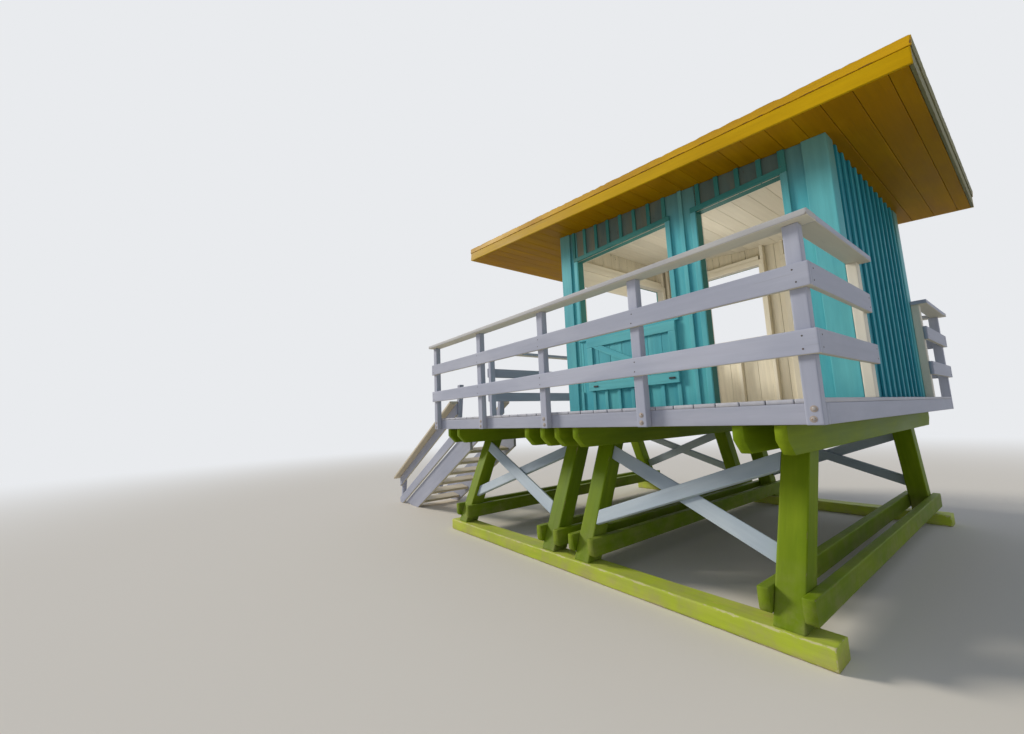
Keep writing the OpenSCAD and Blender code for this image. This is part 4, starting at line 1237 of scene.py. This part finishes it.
# %% Fascia
STRIP_H, STRIP_T, STRIP_PROUD, FASCIA_T, REAR_GAP = 0.075, 0.020, 0.006, 0.022, 0.003
FASCIA_H = ROOF_T - STRIP_H - 0.001
BODY_X, BODY_A0, BODY_A1 = ROOF_W / 2 - STRIP_PROUD, STRIP_PROUD, ROOF_L - STRIP_PROUD
BODY_IN = BODY_X - FASCIA_T
fascia = [roof_board(BODY_IN, BODY_X, BODY_A0, BODY_A1, 0, FASCIA_H, "a",
                     cut1=lambda u, v: (FASCIA_H / 2 - u) * ROOF_TAN)]
fascia += mirrored(fascia)
fascia += [roof_board(-BODY_IN, BODY_IN, BODY_A0, BODY_A0 + FASCIA_T, 0, FASCIA_H, "x")]
rear_y = roof_spot(0, BODY_A1, FASCIA_H)[1] - FASCIA_T / 2
rear_tall = FASCIA_H / math.cos(SLOPE) - REAR_GAP
rear_z = under_roof(rear_y) + rear_tall / 2
rear_fascia = [board((-BODY_IN, rear_y, rear_z), (BODY_IN, rear_y, rear_z),
                     (0, 0, rear_tall), (0, FASCIA_T, 0))]
print("fascia %.0f mm high, the rear one %.0f mm" % (1000 * FASCIA_H, 1000 * rear_tall))

# %% [markdown]
# The soffit's boards lie across, with fine dark joints that lead the eye under the roof. The first joint is
# set where one is seen, and the others follow at an even pitch. Plain sheets close the top.

# %% Soffit and sheets
SOFFIT_PITCH, SOFFIT_JOINT_Y, SOFFIT_T, NARROWEST, BOARD_GAP = 0.195, 2.267, 0.018, 0.06, 0.0015
SHEETS_ACROSS, SHEETS_ALONG, SHEET_GAP, SHEET_T, SHEET_SUNK = 3, 5, 0.002, 0.017, 0.001


def boards_across(x, marks, h0, h1):
    """Thin boards across the roof between the marks, with a gap at each."""
    return [roof_board(-x, x, a + BOARD_GAP, b - BOARD_GAP, h0, h1, "x", bow=0.0004, step=0.6)
            for a, b in zip(marks[:-1], marks[1:])]


joint = (SOFFIT_JOINT_Y - ROOF_Y0) / math.cos(SLOPE)
inner_marks = [m for m in joint + SOFFIT_PITCH * np.arange(-40, 20)
               if BODY_A0 + NARROWEST < m < BODY_A1 - NARROWEST]
soffit_marks = [BODY_A0 + FASCIA_T, *inner_marks, BODY_A1 - FASCIA_T + FASCIA_H * ROOF_TAN]
soffit = boards_across(BODY_IN, soffit_marks, 0.0, SOFFIT_T)
sheet_w, sheet_l = (ROOF_W - 2 * STRIP_T) / SHEETS_ACROSS, (ROOF_L - 2 * STRIP_T) / SHEETS_ALONG
sheets = []
for i in range(SHEETS_ACROSS):
    for j in range(SHEETS_ALONG):
        x0, a0 = -ROOF_W / 2 + STRIP_T + i * sheet_w, STRIP_T + j * sheet_l
        sheets.append(roof_board(x0 + SHEET_GAP, x0 + sheet_w - SHEET_GAP,
                                 a0 + SHEET_GAP, a0 + sheet_l - SHEET_GAP,
                                 ROOF_T - SHEET_SUNK - SHEET_T, ROOF_T - SHEET_SUNK, "a",
                                 arris=0.002, bow=0.0005))
joinery("roof_boards", fascia + sheets, YELLOW, ("roof",))
# The rear fascia's olive grey is painted shade and painted sky reflection.
joinery("rear_fascia", rear_fascia, SHADED_YELLOW, ("roof",))
# The soffit's darker gold is painted shade.
joinery("soffit_boards", soffit, SOFFIT, ("roof",))

# %% [markdown]
# The strip round the roof's edge takes the worst of the weather, and its upper edge is frayed. Nicks in the
# section, one at every 45 mm, give that outline; paint alone would leave a straight edge against the sky.

# %% Strip
rough_sawn = dict(arris=0.005, bow=0.001, step=0.045, ragged=0.009)
strip_x = ROOF_W / 2 - STRIP_T
strip = [roof_board(strip_x, ROOF_W / 2, 0, ROOF_L, ROOF_T - STRIP_H, ROOF_T, "a", **rough_sawn)]
strip += mirrored(strip)
strip += [roof_board(-strip_x, strip_x, a, a + STRIP_T, ROOF_T - STRIP_H, ROOF_T, "x", **rough_sawn)
          for a in (0, ROOF_L - STRIP_T)]
# The rear strip takes the same olive grey, as painted shade and painted sky reflection.
joinery("rear_strip", [strip.pop()], SHADED_YELLOW, ("roof_strip",))
joinery("roof_strip_boards", strip, STRIP, ("roof_strip",))

# %% [markdown]
# Inside the cabin the same boards are cream. They hang a little below the soffit's level, between the
# walls' skins, so the two paints never share a face.

# %% Ceiling
CEILING_T, CEILING_IN = 0.012, 0.001
ceiling_y = (WALL_Y0 + SKIN, WALL_Y1 - SKIN)
ceiling_a0, ceiling_a1 = [(y - ROOF_Y0) / math.cos(SLOPE) for y in ceiling_y]
ceiling_marks = [ceiling_a0, *[m for m in inner_marks if ceiling_a0 < m < ceiling_a1], ceiling_a1]
joinery("ceiling", boards_across(SKIN_X, ceiling_marks, -CEILING_T, CEILING_IN), CREAM)

# %% [markdown]
# Screws and bolts hold it together. A head is a low dome: its radius falls from 1 to 0 as its height rises
# along a quarter circle. Dozens are needed, so one grid of points is worked out for a head and moved to
# each place by adding arrays, with only ten sides to a head. Real ones have slots, too small to see here.

# %% A head
HEAD_SIDES, HEAD_BACK, HEAD_RIM = 10, -0.5, 0.35
HEAD_RISE = np.radians([0, 0, 35, 65])


def heads_at(name, places, outs, radius, height, material):
    """Domes at the places. A point is place + radius * cos(rise) * (a turn of the circle) + out * height *
    tall, where tall = HEAD_RIM + (1 - HEAD_RIM) * sin(rise). The first ring is at HEAD_BACK, in the wood."""
    places, outs = np.array(places, float), np.array(outs, float)
    turn = np.arange(HEAD_SIDES) * 2 * math.pi / HEAD_SIDES
    wide = np.cos(HEAD_RISE)
    tall = HEAD_RIM + (1 - HEAD_RIM) * np.sin(HEAD_RISE)
    tall[0] = HEAD_BACK
    up = np.tile([0.0, 0.0, 1.0], (len(outs), 1))
    side = np.cross(up, outs)
    ring = (np.cos(turn)[None, :, None] * side[:, None] + np.sin(turn)[None, :, None] * up[:, None]) * radius
    points = (places[:, None, None] + wide[None, :, None, None] * ring[:, None]
              + (tall * height)[None, :, None, None] * outs[:, None, None])
    tops = places + outs * height
    grid = np.concatenate([points.reshape(len(places), -1, 3), tops[:, None]], axis=1)
    rings = len(HEAD_RISE)
    j = np.arange(HEAD_SIDES)
    k = (j + 1) % HEAD_SIDES
    rows = np.arange(rings - 1)[:, None] * HEAD_SIDES
    last, top = (rings - 1) * HEAD_SIDES, rings * HEAD_SIDES
    quads = np.stack([rows + j, rows + k, rows + HEAD_SIDES + k, rows + HEAD_SIDES + j], axis=-1)
    quads = quads.reshape(-1, 4)
    tris = np.stack([last + j, last + k, np.full(HEAD_SIDES, top)], axis=-1)
    first = np.arange(len(places))[:, None, None] * grid.shape[1]
    faces = ((quads + first).reshape(-1, 4).tolist() + (tris + first).reshape(-1, 3).tolist()
             + (j[::-1] + first[:, 0]).tolist())
    mesh = bpy.data.meshes.new(name)
    mesh.from_pydata((grid.reshape(-1, 3) + (0, SHIFT, 0)).tolist(), [], faces)
    finished(name, mesh, material)
    print("%-18s heads %3d" % (name, len(places)))


print("points in a head:", len(HEAD_RISE) * HEAD_SIDES + 1)

# %% [markdown]
# Two screws hold each plank to each post, and two bolts hold each post to the rim. Nobody measured when
# driving them, so each is a few millimetres off its line. Round a bolt the paint has chipped off in a ring.

# %% Screws and bolts
SCREW_IN, SIDE_REACH, OFF_ALONG, OFF_UP = 0.038, 0.04, 0.008, 0.006
BOLT_ROWS = (FRAME_Z + 0.035, FRAME_Z + 0.095)
SCREW_ROWS = [z for low, high in PLANKS for z in (low + SCREW_IN, high - SCREW_IN)]


def off(reach):
    """A few millimetres either way."""
    return rng.uniform(-reach, reach)


screws, screw_out, bolts, bolt_out = [], [], [], []
for sign in (1, -1):
    for y in SIDE_POSTS:
        screws += [(sign * PLANK_X, y + off(OFF_ALONG), z + off(OFF_UP)) for z in SCREW_ROWS]
        bolts += [(sign * POST_X, y + off(OFF_UP), z) for z in BOLT_ROWS]
        screw_out += [(sign, 0, 0)] * len(SCREW_ROWS)
        bolt_out += [(sign, 0, 0)] * len(BOLT_ROWS)
    for x in (REAR_END + POST_W / 2, POST_X - SIDE_REACH):
        screws += [(sign * (x + off(OFF_UP)), PLANK_Y, z) for z in SCREW_ROWS]
        screw_out += [(0, 1, 0)] * len(SCREW_ROWS)
for x in (-RIM_X + POST_W / 2, middle, FRONT_END - POST_W / 2):
    screws += [(x + off(OFF_UP), -PLANK_Y, z) for z in SCREW_ROWS]
    screw_out += [(0, -1, 0)] * len(SCREW_ROWS)
heads_at("plank_screws", screws, screw_out, 0.0055, 0.0012, SCREW_STEEL)
heads_at("bolt_rings", bolts, bolt_out, 0.021, 0.0022, CHIPPED)
heads_at("post_bolts", bolts, bolt_out, 0.012, 0.008, BOLT_STEEL)
